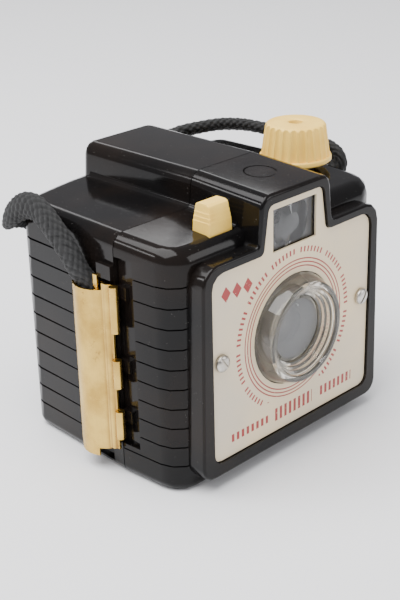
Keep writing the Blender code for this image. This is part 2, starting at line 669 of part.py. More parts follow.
def front_openings():
    """What is cut through the finished form: plate recess, seats, slots and screw holes."""
    lens = (0, LENS_Z)
    post_x, leg_y = SPRING_POST[0], (BUTTON_Y[0], LEG_Y[1] + 0.4)
    tools = [
        prism("plate_recess", plate_outline(-GAP), FRAME_Y - 1, PLATE_BACK_Y + GAP),
        rod("lens_hole", RING_BASE_R - 3.8, (lens[0], FRAME_Y, lens[1]), (lens[0], Y_FACE + 2, lens[1]),
            32),
        rod("flange_seat", RING_FLANGE_R + GAP, (lens[0], FRAME_Y, lens[1]),
            (lens[0], PLATE_BACK_Y + GAP + 1.3, lens[1]), 36),
        box("finder_lens_seat", (-FINDER[0] - 1.6, FRAME_Y, FINDER[1] - 1.3),
            (FINDER[0] + 1.6, PLATE_BACK_Y + 2.6, FINDER[2] + 1.3)),
        box("finder_throat", (-FINDER[0] + 0.2, FRAME_Y, FINDER[1] + 0.3),
            (FINDER[0] - 0.2, PLATE_BACK_Y + 6, FINDER[2] - 0.3)),
        finder_tunnel(PLATE_BACK_Y + 3.8, Y_PART + 1, TUNNEL_HALF, TUNNEL_FLOOR_Z,
                      FINDER[2] + 1.9, "tunnel_hollow"),
        box("button_slot", (BUTTON_X[0] - 0.35, BUTTON_Y[0] - 0.35, SHOULDER_Z - 7.5),
            (BUTTON_X[1] + 0.35, BUTTON_Y[1] + 0.35, SHOULDER_Z + 4.5)),
        rod("shaft_hole", SHAFT_R + 0.25, (*KNOB, SHOULDER_Z - 5.5), (*KNOB, SHOULDER_Z + 4.5)),
        rod("spring_post_hole", SPRING_POST_R + 0.5, (*SPRING_POST, SHELF_Z[0] - 1.4),
            (*SPRING_POST, SHELF_Z[1] + 1), 16),
        box("leg_slot", (post_x - LEG_HALF - 0.4, leg_y[0], SHELF_Z[0] - 1.4),
            (post_x + LEG_HALF + 0.4, leg_y[1], SHELF_Z[1] + 1)),
        emblem_ring(),
    ]
    tools += [rod(f"face_screw_hole_{side}", FACE_SCREW_R + GAP,
                  (side * FACE_SCREW[0], FRAME_Y, FACE_SCREW[1]),
                  (side * FACE_SCREW[0], Y_FACE + 1.9, FACE_SCREW[1]), 20) for side in (-1, 1)]
    tools += [rod(f"post_hole_{i}", 1.2, (x, CONE_Y - 5.0, z), (x, CONE_Y + 1, z), 16)
              for i, (x, z) in enumerate(CHAMBER_POSTS)]
    return tools


def front_hollow_plan():
    plan = inset(front_plan(), WALL)
    return keep_end(plan, (0, 1), Y_PART + 2)


def ordered(side, xs, ys, zs):
    """Box corners for a shape on the right side, or mirrored to the left."""
    x0, x1 = sorted(side * x for x in xs)
    return (x0, ys[0], zs[0]), (x1, ys[1], zs[1])


def emblem_ring():
    """A plain ring sunk in the top of the finder housing."""
    z = HUMP_Z + TOP_SLOPE * (EMBLEM[1] - Y_PART)
    ring = rod("emblem_ring", EMBLEM_R[1], (*EMBLEM, z - 0.35), (*EMBLEM, z + 2), 24)
    core = rod("emblem_core", EMBLEM_R[0], (*EMBLEM, z - 1), (*EMBLEM, z + 3), 24)
    return cut(ring, core)


def build_rear_shell():
    start = Y_PART + GAP
    shell = shell_block("rear_block", rear_plan(), 0.0, SHOULDER_Z, SHOULDER_R, FOOT_R, start)
    cut(shell, rear_grooves(1) + rear_grooves(-1))
    hump = prism("rear_hump", hump_section(), start, HUMP_REAR_Y)
    round_edges(hump, lambda a, b: min(a.y, b.y) > HUMP_REAR_Y - 0.1 and max(a.z, b.z) > SHOULDER_Z,
                HUMP_REAR_R, 3)
    lugs = [box(f"latch_stop_{side}", *ordered(side, (POCKET_X - 0.4, LATCH_X + 0.8),
                                               (start, GUTTER_Y[0] + 1.8),
                                               (STRIP_Z[1] + 1.2, STRIP_Z[1] + 5.4)))
            for side in (-1, 1)]
    join(shell, [hump] + foot_fillets("rear_fillet", start, HUMP_REAR_Y - HUMP_REAR_R - 1.3) + lugs)

    hollow = shell_block("rear_hollow", rear_hollow_plan(), WALL, SHOULDER_Z - WALL, 2.0, 0.8,
                         start - 2)
    cut(shell, hollow)
    tunnel = box("rear_tunnel_walls", (-HUMP_HALF + 0.8, start + 0.6, SHOULDER_Z - 6.7),
                 (HUMP_HALF - 0.8, HUMP_REAR_Y - 1, SHOULDER_Z - 1.1))
    join(shell, tunnel)
    notch = rod("ear_notch", EAR_R + GAP, (*KNOB, SHOULDER_Z - 5.5), (*KNOB, SHOULDER_Z + 4.5), 28)
    tools = [
        finder_tunnel(start - 1, HUMP_REAR_Y - 2 * EYE_SEAT, HUMP_HALF - 2.8, SHOULDER_Z - 5.1,
                      HUMP_Z - WALL, "rear_tunnel_hollow"),
        notch,
        box("eyepiece_seat", (-EYE_HALF[0] - 1.3, HUMP_REAR_Y - 4, EYE_Z - EYE_HALF[1] - 1.3),
            (EYE_HALF[0] + 1.3, HUMP_REAR_Y - EYE_SEAT, EYE_Z + EYE_HALF[1] + 1.3)),
        box("eyepiece_hole", (-EYE_HALF[0], HUMP_REAR_Y - 4, EYE_Z - EYE_HALF[1]),
            (EYE_HALF[0], HUMP_REAR_Y + 1, EYE_Z + EYE_HALF[1])),
        rod("red_hole", RED_R, (0, Y_REAR - 4, LENS_Z), (0, Y_REAR + 1, LENS_Z), 32),
        rod("red_seat", RED_R + 2.0, (0, Y_REAR - 4, LENS_Z), (0, Y_REAR - RED_SEAT, LENS_Z), 32),
        rod("red_dish", RED_R + 2.4, (0, Y_REAR - 0.5, LENS_Z), (0, Y_REAR + 1, LENS_Z), 32),
    ]
    tools += [box(f"strap_pocket_{side}", *ordered(side, (POCKET_X, LATCH_X + 6.1),
                                                   (GUTTER_Y[0] + 0.4, GUTTER_Y[1] + 1.1),
                                                   (LATCH_Z[0] - LATCH_TRAVEL - 0.5,
                                                    STRIP_Z[1] + 1.0)))
              for side in (-1, 1)]
    cut(shell, tools)
    return finish(shell, "rear_shell", "black_moulding")


def rear_hollow_plan():
    return keep_end(inset(rear_plan(), WALL), (0, 1), Y_PART + GAP - 2)


# ---------------------------------------------------------------- front pieces

def build_face_plate():
    front = PLATE_Y
    plate = prism("plate", plate_outline(), front, PLATE_BACK_Y)
    tools = [rod("ring_hole", RING_BASE_R + GAP, (0, front - 1, LENS_Z), (0, front + 2, LENS_Z), 40),
             box("finder_opening", (-FINDER[0], front - 1, FINDER[1]),
                 (FINDER[0], front + 2, FINDER[2]))]
    tools += [rod(f"plate_screw_{side}", FACE_SCREW_R + GAP,
                  (side * FACE_SCREW[0], front - 1, FACE_SCREW[1]),
                  (side * FACE_SCREW[0], front + 2, FACE_SCREW[1]), 20) for side in (-1, 1)]
    return finish(cut(plate, tools), "face_plate", "cream_enamel")


def build_face_screws():
    front = PLATE_Y
    for side, name in ((-1, "face_screw_left"), (1, "face_screw_right")):
        r, shank = FACE_HEAD_R, FACE_SCREW_R
        dome = [(r * math.sin(a), GAP + 0.5 + 1.1 * math.cos(a))
                for a in [math.radians(18 * k) for k in range(6) if k != 1]]
        profile = [(0.0, dome[0][1])] + dome[1:] + [(r, GAP), (shank, GAP), (shank, -5.4), (0.0, -5.4)]
        screw = turned(name, profile, (side * FACE_SCREW[0], front, FACE_SCREW[1]), "FRONT", 16)
        slot = box("slot", (-0.4, front - 3, -3), (0.4, front - GAP - 0.9, 3))
        slot.matrix_world = (Matrix.Translation(Vector((side * FACE_SCREW[0], 0, FACE_SCREW[1])) * MM)
                             @ Matrix.Rotation(math.radians(35 * side), 4, "Y"))
        finish(cut(screw, slot), name, "nickel")


def build_lens_window():
    """Clear moulded ring with stepped inner cone and a domed window at its bottom."""
    seat = -PLATE_T - GAP
    outer = [(RING_FRONT_R - 1.0, RING_PROUD), (RING_FRONT_R - 0.3, RING_PROUD - 0.3),
             (RING_FRONT_R, RING_PROUD - 1.0), (RING_BASE_R, 0.2),
             (RING_BASE_R, seat), (RING_FLANGE_R, seat), (RING_FLANGE_R, seat - 1.0)]
    under = [(RING_BASE_R - 1.4, seat - 1.0), (RING_BASE_R - 2.6, RING_PROUD - 1.6),
             (RING_BASE_R - 3.4, RING_PROUD - 2.0), (WINDOW_R + 0.6, -1.0), (0.0, -0.6)]
    mouth_r = RING_FRONT_R - 2.4
    steps = []
    for k in range(RING_STEPS):
        r = mouth_r - k * (mouth_r - WINDOW_R) / RING_STEPS
        depth = RING_PROUD - 0.7 - k * RING_STEP_H
        steps += [(r, depth), (r, depth - 1.0)]
    window = [(WINDOW_R * math.sin(a), 0.9 + 0.55 * math.cos(a))
              for a in [math.radians(90 - 30 * k) for k in range(3)]]
    face = [(0.0, 1.45)] + window[::-1] + steps[::-1] + [(mouth_r + 0.4, RING_PROUD)]
    ring = turned("ring", face + outer + under, (0, PLATE_Y, LENS_Z), "FRONT", 32)
    return finish(ring, "lens_window", "clear_plastic")


def build_taking_lens():
    """Single meniscus, hollow side to the front."""
    edge = [math.radians(a) for a in (0, 9, 18, 27)]
    reach = math.sin(edge[-1])
    front = [(LENS_R * math.sin(a) / reach, -0.9 * math.cos(a)) for a in edge]
    back = [(r, h - 1.1) for r, h in reversed(front)]
    profile = [(0.0, front[0][1])] + front[1:] + back[:-1] + [(0.0, back[-1][1])]
    lens = turned("meniscus", profile, (0, SHUTTER_Y - 2.9, LENS_Z), "FRONT", 24)
    finish(lens, "taking_lens", "lens_glass")

    inner, lip = LENS_R + GAP, LENS_R - 0.9
    cell = [(inner + 2.0, 3.2), (inner + 2.0, 0.0), (inner, 0.0), (inner, 2.6), (lip, 2.6), (lip, 3.2)]
    ring = turned("cell", cell, (0, SHUTTER_Y - GAP, LENS_Z), "FRONT", 24)
    return finish(ring, "lens_cell", "black_inside")


def build_finder_front_lens():
    """Small plano-concave finder lens in its seat behind the plate."""
    y = PLATE_BACK_Y + GAP
    lens = box("finder_glass", (-FINDER[0] - 1.3, y, FINDER[1] - 1.0),
               (FINDER[0] + 1.3, y + FINDER_LENS_T, FINDER[2] + 1.0))
    middle = (FINDER[1] + FINDER[2]) / 2
    dish = turned("dish", [(0.0, 1.6), (3.0, 1.45), (5.6, 1.0), (7.4, 0.3), (7.9, -0.2), (0.0, -0.2)],
                  (0, y + FINDER_LENS_T, middle), "FRONT", 32)
    return finish(cut(lens, dish), "viewfinder_front_lens", "lens_glass")


# ---------------------------------------------------------------- shutter

def build_shutter():
    back = SHUTTER_Y + SHUTTER_T
    plate = prism("shutter", rounded([
        (-SHUTTER_HALF, SHUTTER_Z[0], 2), (SHUTTER_HALF, SHUTTER_Z[0], 2),
        (SHUTTER_HALF, SHUTTER_Z[1], 2), (-SHUTTER_HALF, SHUTTER_Z[1], 2)]), SHUTTER_Y, back)
    posts = [rod(f"pivot_post_{i}", POST_R, (x, SHUTTER_Y + 0.2, z), (x, CONE_Y - GAP - 0.1, z), 16)
             for i, (x, z) in enumerate((LEVER_PIVOT, BLADE_PIVOT))]
    holes = [rod("stop", APERTURE_R, (0, SHUTTER_Y - 1, LENS_Z), (0, back + 1, LENS_Z), 32)]
    holes += [rod(f"stake_hole_{i}", STAKE_R + GAP, (x, SHUTTER_Y - 1, z), (x, back + 1, z), 16)
              for i, (x, z) in enumerate(STAKES)]
    finish(cut(join(plate, posts), holes), "shutter_plate", "blackened_steel")

    blade_axis = axis_empty("shutter_blade_axis", (BLADE_PIVOT[0], back, BLADE_PIVOT[1]))
    aim = math.atan2(LENS_Z - BLADE_PIVOT[1], -BLADE_PIVOT[0])
    reach = math.hypot(BLADE_PIVOT[0], LENS_Z - BLADE_PIVOT[1]) + 4.6
    arc = [aim + math.radians(a) for a in range(-20, 21, 5)]
    outline = [(BLADE_PIVOT[0] + reach * math.cos(a), BLADE_PIVOT[1] + reach * math.sin(a))
               for a in arc]
    hub = [aim + math.radians(a) for a in range(110, 251, 20)]
    outline += [(BLADE_PIVOT[0] + 3.0 * math.cos(a), BLADE_PIVOT[1] + 3.0 * math.sin(a)) for a in hub]
    blade = prism("sector", outline, back + 0.35, back + 0.75)
    hole = rod("blade_hole", POST_R + GAP, (BLADE_PIVOT[0], back, BLADE_PIVOT[1]),
               (BLADE_PIVOT[0], back + 2, BLADE_PIVOT[1]), 20)
    finish(cut(blade, hole), "shutter_blade", "blackened_steel", blade_axis)

    lever_axis = axis_empty("shutter_lever_axis", (LEVER_PIVOT[0], back, LEVER_PIVOT[1]))
    low, high = back + 1.4, back + 2.2
    arm = [(-14.2, 47.6, 1.2), (-10.4, 48.4, 1.2), (-10.2, 52.0, 1.4), (-14.6, 53.4, 1.0),
           (LEVER_PAD[0] + 0.6, LEVER_PAD[1] + 0.9, 0.8), (LEVER_PAD[0] - 1.6, LEVER_PAD[1] + 0.9, 0.8),
           (LEVER_PAD[0] - 1.6, LEVER_PAD[1] - 1.5, 0.8)]
    lever = prism("lever", rounded(arm), low, high)
    pivot = rod("lever_hole", POST_R + GAP, (LEVER_PIVOT[0], low - 1, LEVER_PIVOT[1]),
                (LEVER_PIVOT[0], high + 1, LEVER_PIVOT[1]), 20)
    finish(cut(lever, pivot), "shutter_lever", "blackened_steel", lever_axis)

    turns, start = 3, high + GAP + 0.25
    path = [(LEVER_PIVOT[0] + 1.75 * math.cos(a), start + 0.62 * a / (2 * math.pi),
             LEVER_PIVOT[1] + 1.75 * math.sin(a))
            for a in [2 * math.pi * k / 8 for k in range(8 * turns - 2)]]
    tail = Vector(path[-1]) + Vector((4.6, 0.1, -1.4))
    finish(wire("torsion", path + [tail], 0.22), "shutter_spring", "spring_steel")


def build_release():
    """Tapered button with stepped sides, a retaining flange, a spring post and a push leg."""
    x0, x1 = BUTTON_X
    y0, y1 = BUTTON_Y
    mid_x, mid_y = (x0 + x1) / 2, (y0 + y1) / 2
    half_x, half_y = (x1 - x0) / 2, (y1 - y0) / 2
    foot = SHOULDER_Z - WALL - TOP_SLOPE * (Y_PART - y0 + GAP) - GAP - 0.2
    axis = axis_empty("release_axis", (mid_x, mid_y, foot))
    steps = [(foot - 0.2, 1.0)] + [(SHOULDER_Z + rise, share) for rise, share in (
        (2.1, 0.955), (2.4, 0.925), (3.4, 0.915), (3.7, 0.885), (4.7, 0.875), (5.0, 0.845), (6.0, 0.83))]
    bm = bmesh.new()
    rings = []
    for z, share in steps:
        hx, hy = half_x * share, half_y * share
        outline = rounded([(-hx, -hy, 0.5), (hx, -hy, 0.5), (hx, hy, 0.5), (-hx, hy, 0.5)])
        rings.append([bm.verts.new((mid_x + p[0], mid_y + p[1], z)) for p in outline])
    crown = [(0.74, BUTTON_TOP_Z - 0.45), (0.5, BUTTON_TOP_Z)]
    for share, z in crown:
        rings.append([bm.verts.new((mid_x + (v.co.x - mid_x) * (1.0 if share > 0.7 else 0.97),
                                    mid_y + (v.co.y - mid_y) * share / 0.83, z))
                      for v in rings[len(steps) - 1]])
    for lower, upper in zip(rings, rings[1:]):
        for k in range(len(lower)):
            n = (k + 1) % len(lower)
            bm.faces.new((lower[k], lower[n], upper[n], upper[k]))
    bm.faces.new(list(reversed(rings[0])))
    bm.faces.new(rings[-1])
    button = link_mesh("button", bm)
    flange = box("flange", (x0 - 1.0, y0 + 0.1, foot - 1.4), (x1 + 1.0, y1 + 0.9, foot))
    post = rod("post", SPRING_POST_R, (*SPRING_POST, SHELF_Z[0] - 0.8), (*SPRING_POST, foot - 1), 16)
    leg = box("leg", (SPRING_POST[0] - LEG_HALF, LEG_Y[0], LEVER_PAD[1] + 1.4),
              (SPRING_POST[0] + LEG_HALF, LEG_Y[1], foot - 1))
    finish(join(button, [flange, post, leg]), "release_button", "cream_plastic", axis)

    spring = wire("return_spring", coil(SPRING_POST, SPRING_POST_R + 0.75, SHELF_Z[1] + GAP + 0.3,
                                        foot - 1.4 - GAP - 0.3, 5), 0.28)
    finish(spring, "release_spring", "spring_steel")


# ---------------------------------------------------------------- winding gear

def build_winding():
    axis = axis_empty("winding_axis", (*KNOB, KNOB_Z[0]))
    low, high = KNOB_Z
    profile = [(2.4, high - 1.0), (2.4, high - 0.05), (5.0, high), (KNOB_TOP_R - 1.2, high - 0.15),
               (KNOB_TOP_R - 0.3, high - 0.6), (KNOB_TOP_R, high - 1.2), (KNOB_R - 0.5, low + 1.6),
               (KNOB_R, low + 1.2), (KNOB_R, low + 0.3), (KNOB_R - 0.3, low), (7.8, low),
               (7.8, low + 1.0), (SHAFT_R + 0.3, low + 1.0), (SHAFT_R + 0.3, high - 1.0)]
    knob = turned("knob", profile, (*KNOB, 0), steps=KNOB_FLUTES * 2)
    flutes = []
    for k in range(KNOB_FLUTES):
        angle = 2 * math.pi * (k + 0.5) / KNOB_FLUTES
        out = Vector((math.cos(angle), math.sin(angle), 0))
        start = Vector((*KNOB, low + 1.7)) + out * (KNOB_R - 0.02)
        end = Vector((*KNOB, high + 0.4)) + out * (KNOB_TOP_R + 0.35)
        flutes.append(rod(f"flute_{k}", 0.85, start, end, 6, 0.75))
    finish(cut(knob, flutes), "winding_knob", "cream_plastic", axis)

    pin = turned("rivet", [(0.0, high + 0.1), (1.1, high), (2.0, high - 0.3), (2.0, high - 0.7),
                           (0.0, high - 0.7)], (*KNOB, 0), steps=24)
    finish(pin, "knob_rivet", "blackened_steel", axis)

    spool_low, spool_high = SPOOL_Z
    shaft = rod("shaft", SHAFT_R, (*KNOB, spool_high - 0.5), (*KNOB, high - 1.0), 16)
    blade = box("key_blade", (KNOB[0] - 2.7, KNOB[1] - 0.5, spool_high - 3.6),
                (KNOB[0] + 2.7, KNOB[1] + 0.5, spool_high + 3.2))
    collar = rod("key_collar", 2.7, (*KNOB, spool_high + 3.0), (*KNOB, spool_high + 4.0), 16)
    finish(join(shaft, [blade, collar]), "winding_key", "nickel", axis)

    washer = turned("washer", [(5.6, EAR_Z + 0.6), (5.6, EAR_Z + GAP), (SHAFT_R + 0.5, EAR_Z + GAP),
                               (SHAFT_R + 0.5, EAR_Z + 0.6)], (*KNOB, 0), steps=24)
    finish(washer, "knob_washer", "spring_steel")

    barrel = turned("barrel", [
        (0.0, spool_high), (SPOOL_R, spool_high), (SPOOL_R, spool_high - 1.0),
        (SPOOL_CORE_R, spool_high - 1.0), (SPOOL_CORE_R, spool_low + 1.0), (SPOOL_R, spool_low + 1.0),
        (SPOOL_R, spool_low), (0.0, spool_low)], (*KNOB, 0), steps=20)
    tools = [box("key_slot", (KNOB[0] - 3.1, KNOB[1] - 0.85, spool_high - 4.2),
                 (KNOB[0] + 3.1, KNOB[1] + 0.85, spool_high + 1)),
             rod("key_bore", SHAFT_R + 0.4, (*KNOB, spool_high - 1.2), (*KNOB, spool_high + 1)),
             rod("pin_bore", SPOOL_PIN_R + GAP, (*KNOB, spool_low - 1), (*KNOB, spool_low + 4.5)),
             box("paper_slot", (KNOB[0] - 5, KNOB[1] - 0.6, 24), (KNOB[0] + 5, KNOB[1] + 0.6, 56))]
    finish(cut(barrel, tools), "take_up_spool", "blackened_steel", axis)


def build_spool_pins():
    lower, upper = DECK_Z[0], DECK_Z[1] + DECK_T
    for name, x, out, inward in (("spool_pin_take_up", KNOB[0], lower - GAP - 0.8, 1),
                                 ("spool_pin_supply_lower", -KNOB[0], lower - GAP - 0.8, 1),
                                 ("spool_pin_supply_upper", -KNOB[0], upper + GAP + 0.8, -1)):
        head = rod("head", 3.0, (x, KNOB[1], out), (x, KNOB[1], out + inward * 0.8), 16)
        stem = rod("stem", SPOOL_PIN_R, (x, KNOB[1], out + inward * 0.4),
                   (x, KNOB[1], out + inward * 6.4), 12)
        finish(join(head, stem), name, "nickel")


# ---------------------------------------------------------------- film chamber

def frustum(name, y0, half0, y1, half1):
    """Four-sided pyramid section about the lens axis; each half is (half width, half height)."""
    bm = bmesh.new()
    bmesh.ops.create_cube(bm, size=2.0)
    for vertex in bm.verts:
        half = half0 if vertex.co.y < 0 else half1
        vertex.co = (vertex.co.x * half[0], y0 if vertex.co.y < 0 else y1,
                     LENS_Z + vertex.co.z * half[1])
    return link_mesh(name, bm)


def build_film_chamber():
    """Light cone, bowed film gate and the two spool decks, moulded in one piece."""
    deck_low, deck_high = DECK_Z
    cone = frustum("cone_outside", CONE_Y, CONE_OUTSIDE[0], GATE_Y + 4, CONE_OUTSIDE[1])
    flange = prism("cone_flange", rounded(FLANGE), CONE_Y, CONE_Y + FLANGE_T)
    rail = [(x, bowed(x, RAIL_Y, RAIL_RADIUS)) for x in [CHAMBER_HALF * (1 - k / 8) for k in range(17)]]
    gate_plan = [(-CHAMBER_HALF, GATE_Y), (CHAMBER_HALF, GATE_Y)] + rail
    gate = prism("gate", gate_plan, deck_low, deck_high + DECK_T, "XY")
    decks = []
    for name, z in (("lower_deck", deck_low), ("upper_deck", deck_high)):
        for side in (-1, 1):
            corners = [(DECK_X, DECK_Y, 1), (KNOB[0] + 2.5, DECK_Y, 6),
                       (CHAMBER_HALF + 1.2, KNOB[1] - 0.7, 5), (CHAMBER_HALF, GATE_Y + 1, 0),
                       (DECK_X, GATE_Y + 1, 0)]
            outline = [(side * p[0], p[1]) for p in rounded(corners)]
            decks.append(prism(f"{name}_{side}", outline, z, z + DECK_T, "XY"))
    webs = [box(f"web_{side}_{k}", *ordered(side, (DECK_X, DECK_X + DECK_T), (DECK_Y, GATE_Y + 1), zs))
            for side in (-1, 1) for k, zs in enumerate(((deck_low, 27.0), (54.0, deck_high + 1)))]
    join(cone, [flange, gate] + decks + webs)
    tools = [frustum("cone_inside", CONE_Y - 1, CONE_INSIDE[0], GATE_Y + 16.0, CONE_INSIDE[1]),
             box("finder_space", (-TUNNEL_HALF - 2.6, -20.0, TUNNEL_FLOOR_Z - 2.3),
                 (TUNNEL_HALF + 2.6, Y_PART + 1.2, TUNNEL_FLOOR_Z + 4.8)),
             rod("key_hole", 3.4, (*KNOB, deck_high - 1), (*KNOB, deck_high + 3)),
             bowed_gate_cut()]
    for x, z in ((KNOB[0], deck_low), (-KNOB[0], deck_low), (-KNOB[0], deck_high)):
        tools.append(rod("pin_hole", SPOOL_PIN_R + GAP, (x, KNOB[1], z - 1), (x, KNOB[1], z + 3), 12))
    for i, (x, z) in enumerate(CHAMBER_POSTS):
        tools.append(rod(f"flange_hole_{i}", 1.3, (x, CONE_Y - 1, z), (x, CONE_Y + 3, z), 12))
    cut(cone, tools)
    return finish(cone, "film_chamber", "black_inside")


def bowed_gate_cut():
    """Relief behind the picture opening, so that only the rails above and below touch film."""
    depth, reach, behind = 0.6, CHAMBER_HALF + 3.6, RAIL_Y + 10.4
    edge = [(x, bowed(x, RAIL_Y, RAIL_RADIUS) - depth) for x in [reach * (1 - k / 8) for k in range(17)]]
    outline = [(reach, behind), (-reach, behind)] + edge[::-1]
    return prism("film_relief", outline, LENS_Z - FILM_HALF_Z, LENS_Z + FILM_HALF_Z, "XY")


def build_chamber_screws():
    for i, (name, (x, z)) in enumerate(zip(("chamber_screw_upper", "chamber_screw_lower"),
                                           CHAMBER_POSTS)):
        seat = CONE_Y + FLANGE_T + GAP
        head = rod("screw_head", 2.2, (x, seat, z), (x, seat + 1.3, z), 14)
        shank = rod("screw_shank", 0.9, (x, CONE_Y - 4.4, z), (x, seat + 0.5, z), 10)
        slot = box("screw_slot", (x - 3, seat + 0.7, z - 0.35), (x + 3, seat + 2, z + 0.35))
        finish(cut(join(head, shank), slot), name, "nickel")


# ---------------------------------------------------------------- rear pieces

def build_rear_optics():
    y = HUMP_REAR_Y - EYE_SEAT - GAP
    eyepiece = box("eyepiece", (-EYE_HALF[0] - 1.0, y - 1.5, EYE_Z - EYE_HALF[1] - 1.0),
                   (EYE_HALF[0] + 1.0, y, EYE_Z + EYE_HALF[1] + 1.0))
    dome = turned("eye_dome", [(0.0, 2.6), (2.4, 2.45), (4.2, 2.0), (5.2, 1.5), (5.2, 0.6), (0.0, 0.6)],
                  (0, y, EYE_Z), "FRONT", 28)
    finish(join(eyepiece, dome), "viewfinder_eyepiece", "lens_glass")
    y = Y_REAR - RED_SEAT - GAP
    red = rod("red_disc", RED_R + 1.7, (0, y - 0.8, LENS_Z), (0, y, LENS_Z), 32)
    finish(red, "red_film_window", "red_celluloid")


def gutter_section():
    """Plan of the latch's sheet metal: inward hem, bulged gutter, flat, bead. Left edge first."""
    y0, y1 = GUTTER_Y
    half, middle = (y1 - y0) / 2, (y0 + y1) / 2
    radius = (half ** 2 + GUTTER_BULGE ** 2) / (2 * GUTTER_BULGE)
    swing = math.asin(half / radius)
    line = [(POCKET_X + 0.5, y1), (LATCH_X - 0.3, y1)]
    for k in range(9):
        a = swing - 2 * swing * k / 8
        line.append((LATCH_X + GUTTER_BULGE - radius + radius * math.cos(a), middle + radius * math.sin(a)))
    bead = y0 - 1.7
    line += [(LATCH_X + 0.05, y0 - 0.5), (LATCH_X + 0.9, bead + 0.5), (LATCH_X + 0.9, bead - 0.5),
             (LATCH_X, bead - 1.3), (LATCH_X, y0 - 4.0)]
    return line


def thicken(line, thickness):
    """Closed outline of a strip whose inner face follows a line and whose body lies outside it."""
    outer = []
    for i, point in enumerate(line):
        here = Vector(point)
        before = (here - Vector(line[i - 1])).normalized() if i else None
        after = (Vector(line[i + 1]) - here).normalized() if i < len(line) - 1 else None
        ways = [w for w in (before, after) if w]
        normals = [Vector((-w.y, w.x)) for w in ways]
        normal = sum(normals, Vector((0, 0)))
        scale = thickness / (normal.length / len(normals)) ** 2 if len(normals) > 1 else thickness
        outer.append(here + normal.normalized() * (normal.length / len(normals)) * scale)
    return [tuple(p) for p in line] + [tuple(p) for p in reversed(outer)]


def build_latch(side, name):
    """A latch of formed sheet metal: a gutter for the strap's end and three curled tabs."""
    axis = axis_empty(f"{name}_axis", (side * LATCH_X, 0.0, LATCH_Z[0]))
    line = gutter_section()
    bulged, strip = line[:12], line[10:]

    def sheet(label, path, low, high):
        outline = [(side * u, v) for u, v in thicken(path, LATCH_T)]
        return prism(label, outline, low, high, "XY")

    latch = sheet("gutter", bulged, *LATCH_Z)
    pieces = [sheet("bead_strip", strip, *STRIP_Z)]
    y_edge = GUTTER_Y[0] - 3.4
    for k, (low, high) in enumerate(TABS):
        curl = [(LATCH_X, y_edge), (LATCH_X, TAB_Y + 1.4), (LATCH_X + 0.35, TAB_Y + 0.55),
                (LATCH_X + 1.1, TAB_Y + 0.2), (LATCH_X + 2.0, TAB_Y + 0.5)]
        pieces.append(sheet(f"tab_{k}", curl, low, high))
    pieces.append(box("lip", *ordered(side, (LATCH_X + 0.9, LATCH_X + 0.9 + LATCH_T),
                                      (GUTTER_Y[0] + 0.9, GUTTER_Y[0] + 2.5),
                                      (LATCH_Z[1] - 3, LATCH_Z[1] + 4.4))))
    pieces.append(sheet("tongue", bulged[4:9], LATCH_TONGUE_Z, LATCH_Z[0] + 0.5))
    return finish(join(latch, pieces), name, "gilt_metal", axis)


def build_strap():
    route = smooth_route(STRAP_ROUTE, STRAP_R * 3.4)
    return finish(wire("braid", route, STRAP_R, 2), "neck_strap", "black_braid")


def main():
    clear_scene()
    new_collection("box_camera")
    new_collection("cutters")
    build_front_shell()
    build_rear_shell()
    build_face_plate()
    build_face_screws()
    build_lens_window()
    build_taking_lens()
    build_finder_front_lens()
    build_shutter()
    build_release()
    build_winding()
    build_spool_pins()
    build_film_chamber()
    build_chamber_screws()
    build_rear_optics()
    build_latch(-1, "latch_left")
    build_latch(1, "latch_right")
    build_strap()


main()
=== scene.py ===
"""Looks of a black moulded box camera with a cream face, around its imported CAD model.

Sizes inside the classes are in millimetres; everything placed in the scene is in metres. +X is to
the right seen from the front, +Y runs to the back and +Z is up, with the origin under the body.
"""
import logging
import math
from dataclasses import dataclass, field
from enum import Enum
from typing import Callable, Sequence

import bmesh
import bpy
import numpy as np
from mathutils import Matrix, Vector


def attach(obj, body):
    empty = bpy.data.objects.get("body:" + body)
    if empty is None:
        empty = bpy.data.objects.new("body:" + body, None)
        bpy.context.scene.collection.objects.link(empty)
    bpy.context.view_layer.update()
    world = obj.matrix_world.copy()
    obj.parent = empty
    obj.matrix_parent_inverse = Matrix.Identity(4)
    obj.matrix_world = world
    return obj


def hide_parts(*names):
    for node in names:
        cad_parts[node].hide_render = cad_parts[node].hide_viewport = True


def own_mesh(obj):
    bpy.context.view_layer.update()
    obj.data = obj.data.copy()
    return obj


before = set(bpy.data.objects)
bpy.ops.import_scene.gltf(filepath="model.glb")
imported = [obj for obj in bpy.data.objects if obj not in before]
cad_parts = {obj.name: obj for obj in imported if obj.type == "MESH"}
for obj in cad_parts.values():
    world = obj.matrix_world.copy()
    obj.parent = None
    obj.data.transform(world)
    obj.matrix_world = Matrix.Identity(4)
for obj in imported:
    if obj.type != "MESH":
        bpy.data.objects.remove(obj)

log = logging.getLogger("box_camera")
Triple = tuple[float, float, float]
Piece = bpy.types.Object
Node = bpy.types.Node
Socket = bpy.types.NodeSocket
BLACK = (0.0, 0.0, 0.0)
WHITE = (1.0, 1.0, 1.0)
MM = 0.001
# A full turn, and the height of the lens axis in millimetres.
TURN = 2 * math.pi
LENS_Z = 40.1
# Corners nearer than these, in metres, become one: on a CAD mesh and at the pole of a spin.
CAD_MERGE = 0.000004
POLE_MERGE = 0.000002
# Neighbouring CAD triangles that differ by less than this lie in one flat face.
FLAT_ANGLE = math.radians(0.6)
# How strongly large faces rule the shading of smooth pieces.
NORMAL_WEIGHT = 60


# ---- modelling moves

def only(*objects: Piece) -> None:
    """Selects these objects and nothing else, and makes the first one active.

    Args:
        objects: What is selected.
    """
    bpy.ops.object.select_all(action="DESELECT")
    for obj in objects:
        obj.select_set(True)
    bpy.context.view_layer.objects.active = objects[0]


